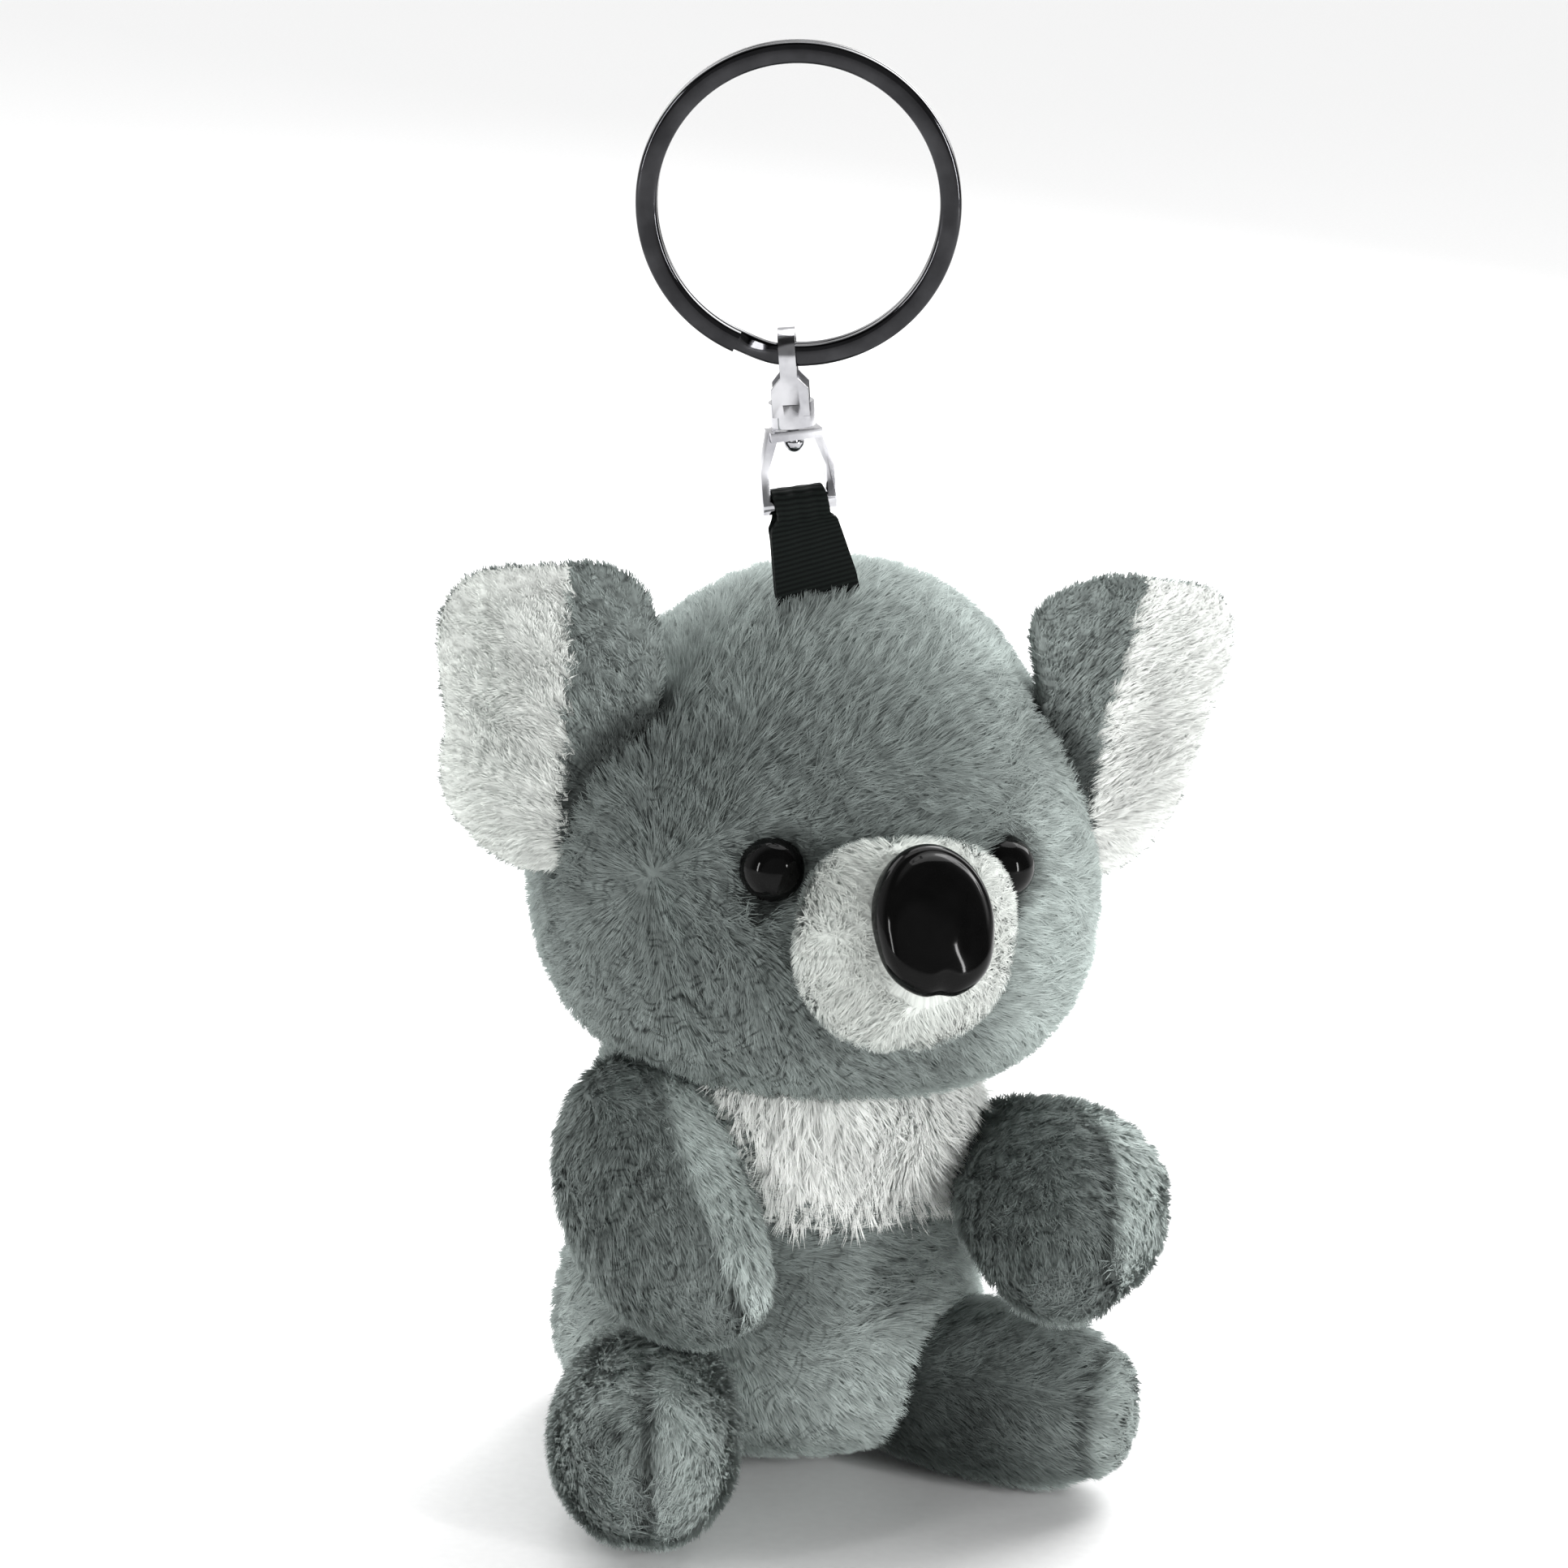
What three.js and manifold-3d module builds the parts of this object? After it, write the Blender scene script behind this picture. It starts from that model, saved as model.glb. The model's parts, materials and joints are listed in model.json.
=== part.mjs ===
// A plush koala on a key ring: sewn fabric skins over fibre stuffing, bead eyes and a moulded nose held by
// washers, a ribbon loop sewn into the crown, and a swivel that carries a split ring.
// Sizes are in millimetres. X points to the koala's left, Y to its back and Z up.
// The origin lies on the ground under the seat.

import * as THREE from 'three';
import { mergeVertices } from 'three/addons/utils/BufferGeometryUtils.js';
import Module from 'manifold-3d';

const wasm = await Module();
wasm.setup();

// Fits shared by all pieces
const GAP = 0.3; // left between two pieces that touch
const SKIN = 1.2; // plush fabric with its backing
const GROUND_CUT = 0.5; // how deep the forms that rest on the ground are cut flat
const OVERRUN = 12; // how far a cutter runs past what it cuts

// Torso
const TORSO_HALF_WIDTH = 20.4;
const TORSO_HALF_DEPTH = 19;
const TORSO_HALF_HEIGHT = 23.2;
const TORSO_SET_BACK = 0.5;
const TORSO_TAPER_SHARE = 0.1; // narrower above, wider below
const SEAT_SPREAD_SHARE = 0.75; // how much the underside spreads where it is sat on
const SHOULDER_SPREAD_SHARE = 0.75; // how much the top spreads below the head

// Head
const HEAD_HALF_WIDTH = 27.4;
const HEAD_HALF_DEPTH = 25.5;
const HEAD_HALF_HEIGHT = 26.2;
const NECK_SINK = 9.4; // how far the head's underside reaches below the torso's top
const NECK_RADIUS = 9; // the opening through which head and torso are joined
const CROWN_TAPER_SHARE = 0.19; // narrower towards the crown, wider towards the cheeks
const JOWL_SHARE = 0.4; // how much fuller the underside is beside the chin
const FACE_TAPER_SHARE = 0.12; // the same taper from front to back

// Muzzle, with its place as shares of the head's half sizes
const MUZZLE_HALF_WIDTH = 10.8;
const MUZZLE_HALF_DEPTH = 7;
const MUZZLE_HALF_HEIGHT = 10.4;
const MUZZLE_PLACE_SHARES = [0, -1.07, -0.16];
const FACE_TURN = 3; // degrees that muzzle, nose and eyes are sewn on towards the koala's left

// Nose and eyes, each with a shank that a washer holds inside the skin
const NOSE_HALF_WIDTH = 5.7;
const NOSE_HALF_HEIGHT = 7.2;
const NOSE_BULGE = 3.4;
const NOSE_RISE = 24; // degrees above straight ahead, seen from the muzzle's middle
const NOSE_LEAN = 33; // degrees that its face looks up
const NOSE_SHANK_RADIUS = 1.6;
const NOSE_WASHER_RADIUS = 3.4;
const EYE_RADIUS = 3.4;
const EYE_BULGE = 3;
const EYE_OUT = 26.5; // degrees to each side of straight ahead
const EYE_RISE = 3.5; // degrees above the head's middle
const EYE_SHANK_RADIUS = 1.1;
const EYE_WASHER_RADIUS = 2.8;
const WASHER_THICKNESS = 0.8;
const SHANK_TAIL = 0.8; // what stands out behind a washer

// Ears, with their place as shares of the head's half sizes
const EAR_HALF_WIDTH = 10.5;
const EAR_HALF_HEIGHT = 16;
const EAR_PANEL = 3.4; // thickness of one panel at its middle
const EAR_CUP = 3.6; // how far the rim stands forward of the middle
const EAR_PLACE_SHARES = [0.99, -0.12, 0.46];
const EAR_TURN = 14; // degrees that an ear looks outwards
const EAR_LEAN = 8; // degrees that its top leans forward
const EAR_SPREAD = 8; // degrees that its top leans outwards
const EAR_SQUARE_SHARE = 0.16; // how much fuller than an ellipse its outline is
const EAR_TAPER_SHARE = 0.2; // wider above, narrower below
const EAR_FOLD_SHARE = 0.12; // where the grey back folds round to the front, from the middle inwards
const EAR_FOLD_SLOPE = 5; // degrees that the fold leans inwards going down

// Limbs: the places where they leave the torso are shares of its half width, half depth and height
const ARM_LENGTH = 32;
const ARM_ROOT_HALF_WIDTH = 9.8;
const ARM_TIP_HALF_WIDTH = 9.4;
const ARM_ROOT_HALF_DEPTH = 7.6;
const ARM_TIP_HALF_DEPTH = 8.4;
const LEG_LENGTH = 35.5;
const LEG_ROOT_HALF_WIDTH = 8;
const LEG_TIP_HALF_WIDTH = 10.6;
const LEG_ROOT_HALF_DEPTH = 8;
const LEG_TIP_HALF_DEPTH = 10.4;
const LIMB_FULL_SHARE = 0.14; // how much blunter than an ellipsoid a limb is
const ARM_RIGHT = { rootShares: [-0.86, -0.16, 0.87], heading: 12, drop: 39, bow: 2, roll: 20 };
const ARM_LEFT = { rootShares: [1, -0.1, 0.69], heading: -2, drop: 11, bow: 4.5, roll: 18 };
const LEG_RIGHT = { rootShares: [-0.56, -0.22, 0.24], heading: -17, drop: 0, bow: 1, roll: 0 };
const LEG_LEFT = { rootShares: [0.08, -0.22, 0.24], heading: 56, drop: 0, bow: 1, roll: 0 };

// Chest bib: a white panel let into the torso's skin
const BIB_TOP_HALF_WIDTH = 17;
const BIB_TIP_HALF_WIDTH = 10.2;
const BIB_SIDE = 4; // from the torso's middle towards the koala's left
const BIB_DROP = 17; // from the torso's top to its lower edge

// Ribbon, doubled over the stirrup's bar
const RIBBON_WIDTH = 8;
const RIBBON_PINCHED_WIDTH = 5;
const RIBBON_LAYER = 0.5;
const RIBBON_LENGTH = 8; // from the crown to the bar
const RIBBON_PINCH_LENGTH = 3.2; // over which it narrows below the bar
const RIBBON_TAB = 6; // what is sewn in below the crown
const RIBBON_LEAN = 17; // degrees from upright, towards the koala's right
const RIBBON_SIDE_SHARE = -0.165; // of the head's half width
const RIBBON_BACK_SHARE = -0.27; // of the head's half depth
const CROWN_ROOM = 0.4; // between the crown and the ribbon that bends over it

// Stirrup
const BAR_RADIUS = 0.8;
const STIRRUP_SLOT = 5.6;
const STIRRUP_ARM = 0.75;
const STIRRUP_DEPTH = 1.3;
const STIRRUP_SHOULDER_WIDTH = 5; // outside, at the bridge
const BRIDGE_RISE = 6.6; // from the bar to the bridge's middle
const BRIDGE_THICKNESS = 0.9;
const BRIDGE_DEPTH = 2.6;
const HARDWARE_LEAN = 9; // degrees from upright, towards the koala's right

// Swivel: a barrel with a strap eye, and the rivet that it turns on
const SWIVEL_TURN = -17; // degrees about its own axis
const BARREL_RADIUS = 2.15;
const BARREL_HEIGHT = 2.3;
const RIVET_RADIUS = 0.6;
const RIVET_HEAD_RADIUS = 1;
const RIVET_HEAD_HEIGHT = 1.1;
const STRAP_THICKNESS = 0.55;
const STRAP_WIDTH = 3.5;
const STRAP_TOP_WIDTH = 1.6;
const STRAP_RISE = 4.5; // from the barrel's top to the eye's middle
const STRAP_WRAP = 220; // degrees that it goes round the ring's wire

// Split ring: one flat wire wound twice
const RING_RADIUS = 15; // outside
const WIRE_WIDTH = 2; // across the band, seen from the side that shows the hole
const WIRE_THICKNESS = 1.05; // of one turn, along the ring's axis
const TURN_GAP = 0.42; // between the two turns
const RING_SKEW = 8; // degrees that the ring stands round from the swivel's axis
const STEP_PLACE = -28; // degrees round from the eye to the middle of the wire's sideways step
const STEP_SPAN = 16; // degrees that the step takes
const RING_TURNS = 2;

// Facets
const LARGE_AROUND = 26;
const LARGE_RINGS = 13;
const LIMB_AROUND = 16;
const LIMB_RINGS = 10;
const SMALL_AROUND = 16;
const SMALL_RINGS = 9;
const STUFFING_AROUND = 12;
const STUFFING_RINGS = 8;
const ROD_SIDES = 20;
const RING_STEPS = 48; // each turn of the wire
const WIRE_CORNER_SHARE = 0.3; // of half the wire's thickness, bevelled off
const ARC_STEPS = 16;

const radians = THREE.MathUtils.degToRad;
const X_AXIS = new THREE.Vector3(1, 0, 0);
const Y_AXIS = new THREE.Vector3(0, 1, 0);
const Z_AXIS = new THREE.Vector3(0, 0, 1);

// Closed solids from geometries, and back

function solidOf(geometry) {
  geometry.deleteAttribute('normal');
  geometry.deleteAttribute('uv');
  const merged = mergeVertices(geometry);
  return new wasm.Manifold(new wasm.Mesh({
    numProp: merged.attributes.position.itemSize,
    vertProperties: new Float32Array(merged.attributes.position.array),
    triVerts: new Uint32Array(merged.index.array),
  }));
}

function meshOf(name, solid, finish) {
  const result = solid.getMesh();
  const geometry = new THREE.BufferGeometry();
  const places = new Float32Array(result.vertProperties);
  geometry.setAttribute('position', new THREE.BufferAttribute(places, result.numProp));
  geometry.setIndex(new THREE.BufferAttribute(new Uint32Array(result.triVerts), 1));
  geometry.computeVertexNormals();
  const mesh = new THREE.Mesh(geometry, finish);
  mesh.name = name;
  return mesh;
}

// A unit sphere with its poles on Z, each point moved to where place(point) says.
function softForm(place, around, rings) {
  const geometry = new THREE.SphereGeometry(1, around, rings);
  geometry.rotateX(Math.PI / 2);
  const positions = geometry.attributes.position;
  const unit = new THREE.Vector3();
  for (let i = 0; i < positions.count; i += 1) {
    unit.fromBufferAttribute(positions, i);
    const moved = place(unit);
    positions.setXYZ(i, moved.x, moved.y, moved.z);
  }
  return solidOf(geometry);
}

// A round rod along Z, from one height to another, moved by frame.
function rod(radius, from, to, frame = new THREE.Matrix4()) {
  const geometry = new THREE.CylinderGeometry(radius, radius, to - from, ROD_SIDES);
  geometry.rotateX(Math.PI / 2);
  geometry.translate(0, 0, (from + to) / 2);
  geometry.applyMatrix4(frame);
  return solidOf(geometry);
}

// An outline of [x, z] points extruded evenly to both sides of the plane Y = 0.
function plate(points, depth, holes = []) {
  const shape = new THREE.Shape(points.map(([x, z]) => new THREE.Vector2(x, z)));
  shape.holes = holes.map((hole) => new THREE.Path(hole.map(([x, z]) => new THREE.Vector2(x, z))));
  const geometry = new THREE.ExtrudeGeometry(shape, { depth, bevelEnabled: false });
  geometry.translate(0, 0, -depth / 2);
  geometry.rotateX(Math.PI / 2);
  return geometry;
}

// Points on an arc about [x, z], with angles in degrees from the X axis.
function arc(centre, radius, from, to) {
  const points = [];
  for (let i = 0; i <= ARC_STEPS; i += 1) {
    const angle = radians(from + ((to - from) * i) / ARC_STEPS);
    points.push([centre[0] + radius * Math.cos(angle), centre[1] + radius * Math.sin(angle)]);
  }
  return points;
}

// A frame at a place whose Z axis looks outwards and whose X axis stays level.
function outwardFrame(place, outward) {
  const level = new THREE.Vector3().crossVectors(Z_AXIS, outward).normalize();
  const up = new THREE.Vector3().crossVectors(outward, level);
  return new THREE.Matrix4().makeBasis(level, up, outward).setPosition(place);
}

// The ground, as a block to cut away

const groundSpan = 2 * (LEG_LENGTH + TORSO_HALF_WIDTH + OVERRUN);
const ground = solidOf(new THREE.BoxGeometry(groundSpan, groundSpan, OVERRUN).translate(0, 0, -OVERRUN / 2));

// Torso and head forms. extra moves a surface outwards.

const torsoRise = TORSO_HALF_HEIGHT - GROUND_CUT;
const torsoTop = torsoRise + TORSO_HALF_HEIGHT;
const headRise = torsoTop + HEAD_HALF_HEIGHT - NECK_SINK;

function torsoForm(extra, around = LARGE_AROUND, rings = LARGE_RINGS) {
  return softForm((unit) => {
    const spread = unit.z < 0 ? SEAT_SPREAD_SHARE : SHOULDER_SPREAD_SHARE;
    const swell = (1 + spread * unit.z * unit.z) * (1 - TORSO_TAPER_SHARE * unit.z);
    return new THREE.Vector3(
      unit.x * (TORSO_HALF_WIDTH + extra) * swell,
      unit.y * (TORSO_HALF_DEPTH + extra) * swell + TORSO_SET_BACK,
      unit.z * (TORSO_HALF_HEIGHT + extra) + torsoRise,
    );
  }, around, rings);
}

function headPoint(unit, extra = 0) {
  const jowl = unit.z < 0 ? JOWL_SHARE * unit.z ** 4 : 0;
  return new THREE.Vector3(
    unit.x * (HEAD_HALF_WIDTH + extra) * (1 - CROWN_TAPER_SHARE * unit.z + jowl),
    unit.y * (HEAD_HALF_DEPTH + extra) * (1 - FACE_TAPER_SHARE * unit.z + jowl),
    unit.z * (HEAD_HALF_HEIGHT + extra) + headRise,
  );
}

function headForm(extra, around = LARGE_AROUND, rings = LARGE_RINGS) {
  return softForm((unit) => headPoint(unit, extra), around, rings);
}

// A place in or on the head, as shares of its half sizes.
function headShare([x, y, z]) {
  return new THREE.Vector3(x * HEAD_HALF_WIDTH, y * HEAD_HALF_DEPTH, z * HEAD_HALF_HEIGHT + headRise);
}

const headRoom = headForm(GAP);
const torsoRoom = torsoForm(GAP);

// Muzzle, with the nose on its front

const muzzlePlace = headShare(MUZZLE_PLACE_SHARES);

// A place or direction of the face, turned about the head's upright axis.
function faceTurned(vector) {
  return vector.applyAxisAngle(Z_AXIS, radians(FACE_TURN));
}

function muzzlePoint(unit, extra = 0) {
  return faceTurned(new THREE.Vector3(
    unit.x * (MUZZLE_HALF_WIDTH + extra),
    unit.y * (MUZZLE_HALF_DEPTH + extra),
    unit.z * (MUZZLE_HALF_HEIGHT + extra),
  ).add(muzzlePlace));
}

function muzzleForm(extra, around = SMALL_AROUND, rings = SMALL_RINGS) {
  return softForm((unit) => muzzlePoint(unit, extra), around, rings);
}

const noseUnit = new THREE.Vector3(0, -Math.cos(radians(NOSE_RISE)), Math.sin(radians(NOSE_RISE)));
const noseOutward = faceTurned(
  new THREE.Vector3(0, -Math.cos(radians(NOSE_LEAN)), Math.sin(radians(NOSE_LEAN))),
);
const noseFrame = outwardFrame(muzzlePoint(noseUnit), noseOutward);
const noseStack = SKIN + GAP + WASHER_THICKNESS + SHANK_TAIL;

const noseDome = softForm(
  (unit) => new THREE.Vector3(
    unit.x * NOSE_HALF_WIDTH,
    unit.y * NOSE_HALF_HEIGHT,
    unit.z * NOSE_BULGE,
  ).applyMatrix4(noseFrame),
  SMALL_AROUND,
  SMALL_RINGS,
);
const nose = noseDome
  .subtract(muzzleForm(GAP))
  .add(rod(NOSE_SHANK_RADIUS, -noseStack, NOSE_BULGE / 2, noseFrame));
const noseHole = rod(NOSE_SHANK_RADIUS + GAP, -OVERRUN, OVERRUN, noseFrame);
const nosePocket = rod(NOSE_WASHER_RADIUS + GAP, -noseStack - GAP, OVERRUN, noseFrame);
const noseWasher = rod(NOSE_WASHER_RADIUS, SHANK_TAIL - noseStack, 0, noseFrame)
  .intersect(muzzleForm(-SKIN - GAP))
  .subtract(noseHole);

const muzzleSkin = muzzleForm(0).subtract(muzzleForm(-SKIN)).subtract(headRoom).subtract(noseHole);
const muzzleStuffing = muzzleForm(-SKIN - GAP).subtract(headRoom).subtract(nosePocket);

// Eyes

const eyeStack = SKIN + GAP + WASHER_THICKNESS + SHANK_TAIL;

function makeEye(side) {
  const out = radians(EYE_OUT);
  const rise = radians(EYE_RISE);
  const unit = faceTurned(new THREE.Vector3(
    side * Math.sin(out) * Math.cos(rise),
    -Math.cos(out) * Math.cos(rise),
    Math.sin(rise),
  ));
  const outward = new THREE.Vector3(
    unit.x / HEAD_HALF_WIDTH,
    unit.y / HEAD_HALF_DEPTH,
    unit.z / HEAD_HALF_HEIGHT,
  ).normalize();
  const frame = outwardFrame(headPoint(unit), outward);
  const dome = softForm(
    (point) => new THREE.Vector3(
      point.x * EYE_RADIUS,
      point.y * EYE_RADIUS,
      point.z * EYE_BULGE,
    ).applyMatrix4(frame),
    SMALL_AROUND,
    SMALL_RINGS,
  );
  const hole = rod(EYE_SHANK_RADIUS + GAP, -OVERRUN, OVERRUN, frame);
  return {
    bead: dome.subtract(headRoom).add(rod(EYE_SHANK_RADIUS, -eyeStack, EYE_BULGE / 2, frame)),
    washer: rod(EYE_WASHER_RADIUS, SHANK_TAIL - eyeStack, 0, frame)
      .intersect(headForm(-SKIN - GAP))
      .subtract(hole),
    hole: rod(EYE_SHANK_RADIUS + GAP, -eyeStack, OVERRUN, frame),
    pocket: rod(EYE_WASHER_RADIUS + GAP, -eyeStack - GAP, OVERRUN, frame),
  };
}

const eyeRight = makeEye(-1);
const eyeLeft = makeEye(1);

// Ears: two panels sewn along the rim. The back panel folds round to the front beside the head.

const earPlace = headShare(EAR_PLACE_SHARES);
const earTurn = new THREE.Matrix4()
  .makeRotationAxis(Z_AXIS, radians(EAR_TURN))
  .multiply(new THREE.Matrix4().makeRotationAxis(X_AXIS, radians(EAR_LEAN)))
  .multiply(new THREE.Matrix4().makeRotationAxis(Y_AXIS, radians(EAR_SPREAD)));

// A point on the ear for the koala's left side. Behind the middle surface its thickness is back, before it
// front, and inset draws the rim in.
function earPoint(unit, front, back, inset) {
  const taper = 1 + EAR_TAPER_SHARE * unit.z;
  const corner = 1 + EAR_SQUARE_SHARE * 4 * unit.x * unit.x * unit.z * unit.z;
  const reach = Math.min(1, unit.x * unit.x + unit.z * unit.z);
  return new THREE.Vector3(
    unit.x * (EAR_HALF_WIDTH - inset) * taper * corner,
    unit.y * (unit.y > 0 ? back : front) - EAR_CUP * reach,
    unit.z * (EAR_HALF_HEIGHT - inset) * corner,
  );
}

function earForm(side, front, back, inset) {
  return softForm((unit) => {
    const ownSide = new THREE.Vector3(unit.x * side, unit.y, unit.z);
    const point = earPoint(ownSide, front, back, inset).applyMatrix4(earTurn).add(earPlace);
    point.x *= side;
    return point;
  }, SMALL_AROUND, SMALL_RINGS);
}

// What lies outwards of the fold line, as a block that is moved inwards by extra.
function earOutside(side, extra) {
  const span = 2 * (EAR_HALF_HEIGHT + OVERRUN);
  const block = new THREE.BoxGeometry(span, span, span);
  block.translate(span / 2 - extra - EAR_FOLD_SHARE * EAR_HALF_WIDTH, 0, 0);
  block.rotateY(radians(EAR_FOLD_SLOPE));
  block.applyMatrix4(earTurn);
  block.translate(earPlace.x, earPlace.y, earPlace.z);
  if (side < 0) {
    block.scale(side, 1, 1);
    block.index.array.reverse(); // turns the mirrored faces outwards again
  }
  return solidOf(block);
}

function makeEar(side) {
  const whole = earForm(side, EAR_PANEL, EAR_PANEL, 0);
  const frontRoom = earForm(side, EAR_PANEL + OVERRUN, 0, -OVERRUN).intersect(earOutside(side, GAP));
  const front = earForm(side, EAR_PANEL, 0, GAP).intersect(earOutside(side, 0));
  return { back: whole.subtract(frontRoom).subtract(headRoom), front: front.subtract(headRoom) };
}

const earRight = makeEar(-1);
const earLeft = makeEar(1);

// Limbs: a unit sphere drawn out along a bowed line, from its root in the torso to its tip.

function torsoShare([x, y, height]) {
  return new THREE.Vector3(
    x * TORSO_HALF_WIDTH,
    y * TORSO_HALF_DEPTH + TORSO_SET_BACK,
    height * torsoTop,
  );
}

function limbForm(limb, size, extra, around, rings) {
  const heading = radians(limb.heading);
  const drop = radians(limb.drop);
  const along = new THREE.Vector3(
    Math.sin(heading) * Math.cos(drop),
    -Math.cos(heading) * Math.cos(drop),
    -Math.sin(drop),
  );
  const across = new THREE.Vector3(Math.cos(heading), Math.sin(heading), 0);
  const above = new THREE.Vector3().crossVectors(across, along);
  across.applyAxisAngle(along, radians(limb.roll));
  above.applyAxisAngle(along, radians(limb.roll));
  const side = Math.sign(limb.rootShares[0]);
  const root = torsoShare(limb.rootShares).addScaledVector(along, -extra);
  const tip = torsoShare(limb.rootShares).addScaledVector(along, size.length + extra);
  const bend = root.clone().lerp(tip, 1 / 2).addScaledVector(across, 2 * side * limb.bow);
  const line = new THREE.QuadraticBezierCurve3(root, bend, tip);
  const place = (unit) => {
    const t = (1 - unit.z) / 2;
    const blunt = Math.pow(Math.max(1 - unit.z * unit.z, Number.EPSILON), -LIMB_FULL_SHARE);
    const width = THREE.MathUtils.lerp(size.rootWidth, size.tipWidth, t) + extra;
    const depth = THREE.MathUtils.lerp(size.rootDepth, size.tipDepth, t) + extra;
    return line.getPoint(t)
      .addScaledVector(across, unit.x * width * blunt)
      .addScaledVector(above, unit.y * depth * blunt);
  };
  return softForm(place, around, rings);
}

const armSize = {
  length: ARM_LENGTH,
  rootWidth: ARM_ROOT_HALF_WIDTH,
  tipWidth: ARM_TIP_HALF_WIDTH,
  rootDepth: ARM_ROOT_HALF_DEPTH,
  tipDepth: ARM_TIP_HALF_DEPTH,
};
const legSize = {
  length: LEG_LENGTH,
  rootWidth: LEG_ROOT_HALF_WIDTH,
  tipWidth: LEG_TIP_HALF_WIDTH,
  rootDepth: LEG_ROOT_HALF_DEPTH,
  tipDepth: LEG_TIP_HALF_DEPTH,
};

// The skin and stuffing of one limb, each cut by the larger forms it meets.
function makeLimb(limb, size, rooms) {
  const cut = (solid) => rooms.reduce((rest, room) => rest.subtract(room), solid);
  const outer = limbForm(limb, size, 0, LIMB_AROUND, LIMB_RINGS);
  const inner = limbForm(limb, size, -SKIN, LIMB_AROUND, LIMB_RINGS);
  return {
    skin: cut(outer.subtract(inner)),
    stuffing: cut(limbForm(limb, size, -SKIN - GAP, STUFFING_AROUND, STUFFING_RINGS)),
  };
}

// A leg rests on the ground: its root is set at the height that sinks its lowest point by the ground cut.
function seated(leg) {
  const lowest = limbForm(leg, legSize, 0, LIMB_AROUND, LIMB_RINGS).boundingBox().min[2];
  const [x, y, height] = leg.rootShares;
  return { ...leg, rootShares: [x, y, height - (lowest + GROUND_CUT) / torsoTop] };
}

const legRightSeated = seated(LEG_RIGHT);
const legLeftSeated = seated(LEG_LEFT);
const legRight = makeLimb(legRightSeated, legSize, [torsoRoom, ground]);
const legLeft = makeLimb(legLeftSeated, legSize, [torsoRoom, ground]);
const legRightRoom = limbForm(legRightSeated, legSize, GAP, LIMB_AROUND, LIMB_RINGS);
const legLeftRoom = limbForm(legLeftSeated, legSize, GAP, LIMB_AROUND, LIMB_RINGS);
const armRight = makeLimb(ARM_RIGHT, armSize, [torsoRoom, headRoom, legRightRoom]);
const armLeft = makeLimb(ARM_LEFT, armSize, [torsoRoom, headRoom, legLeftRoom]);

// Torso skin with the bib let into its front

function bibBlock(extra) {
  const low = torsoTop - BIB_DROP - extra;
  const tip = BIB_TIP_HALF_WIDTH + extra;
  const top = BIB_TOP_HALF_WIDTH + extra;
  const outline = [[-tip, low], [tip, low], [top, torsoTop], [-top, torsoTop]];
  const depth = TORSO_HALF_DEPTH + OVERRUN;
  return solidOf(plate(outline, depth).translate(BIB_SIDE, TORSO_SET_BACK - depth / 2, 0));
}

const torsoShell = torsoForm(0).subtract(torsoForm(-SKIN)).subtract(headRoom).subtract(ground);
const chestBib = torsoShell.intersect(bibBlock(0));
const torsoSkin = torsoShell.subtract(bibBlock(GAP));
const torsoStuffing = torsoForm(-SKIN - GAP, STUFFING_AROUND, STUFFING_RINGS).subtract(headRoom);

// Ribbon: a doubled strap along its own Z axis, with the bar at its top

const crownUnit = new THREE.Vector3(RIBBON_SIDE_SHARE, RIBBON_BACK_SHARE, 0);
crownUnit.z = Math.sqrt(1 - crownUnit.lengthSq());
const crown = headPoint(crownUnit, CROWN_ROOM);
const ribbonFrame = new THREE.Matrix4().makeRotationAxis(Y_AXIS, radians(-RIBBON_LEAN)).setPosition(crown);
const foldRadius = BAR_RADIUS + GAP + RIBBON_LAYER;

// Its outline seen from the side, from depth below the crown to where it parts to go round the bar.
function ribbonSide(depth, extra) {
  const half = RIBBON_LAYER + extra;
  const neck = RIBBON_LENGTH - 2 * foldRadius;
  const outline = [
    [-half, -depth],
    [half, -depth],
    [half, neck],
    [foldRadius, RIBBON_LENGTH],
    [-foldRadius, RIBBON_LENGTH],
    [-half, neck],
  ];
  const geometry = plate(outline, RIBBON_WIDTH + 2 * extra);
  geometry.rotateZ(Math.PI / 2);
  return geometry;
}

const ribbonFront = [
  [-RIBBON_WIDTH / 2, -OVERRUN],
  [RIBBON_WIDTH / 2, -OVERRUN],
  [RIBBON_WIDTH / 2, RIBBON_LENGTH - RIBBON_PINCH_LENGTH],
  [RIBBON_PINCHED_WIDTH / 2, RIBBON_LENGTH - foldRadius],
  [RIBBON_PINCHED_WIDTH / 2, RIBBON_LENGTH],
  [-RIBBON_PINCHED_WIDTH / 2, RIBBON_LENGTH],
  [-RIBBON_PINCHED_WIDTH / 2, RIBBON_LENGTH - foldRadius],
  [-RIBBON_WIDTH / 2, RIBBON_LENGTH - RIBBON_PINCH_LENGTH],
];

// The fold lies along the bar, which leans less than the ribbon does.
const barPlace = new THREE.Vector3(0, 0, RIBBON_LENGTH).applyMatrix4(ribbonFrame);
const barFrame = new THREE.Matrix4()
  .makeRotationAxis(Y_AXIS, Math.PI / 2 - radians(HARDWARE_LEAN))
  .setPosition(barPlace);
const barRoom = rod(BAR_RADIUS + GAP, -RIBBON_WIDTH, RIBBON_WIDTH, barFrame);
const ribbonWhole = solidOf(ribbonSide(RIBBON_TAB, 0).applyMatrix4(ribbonFrame))
  .intersect(solidOf(plate(ribbonFront, RIBBON_WIDTH).applyMatrix4(ribbonFrame)))
  .add(rod(foldRadius, -RIBBON_PINCHED_WIDTH / 2, RIBBON_PINCHED_WIDTH / 2, barFrame))
  .subtract(barRoom);
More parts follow.
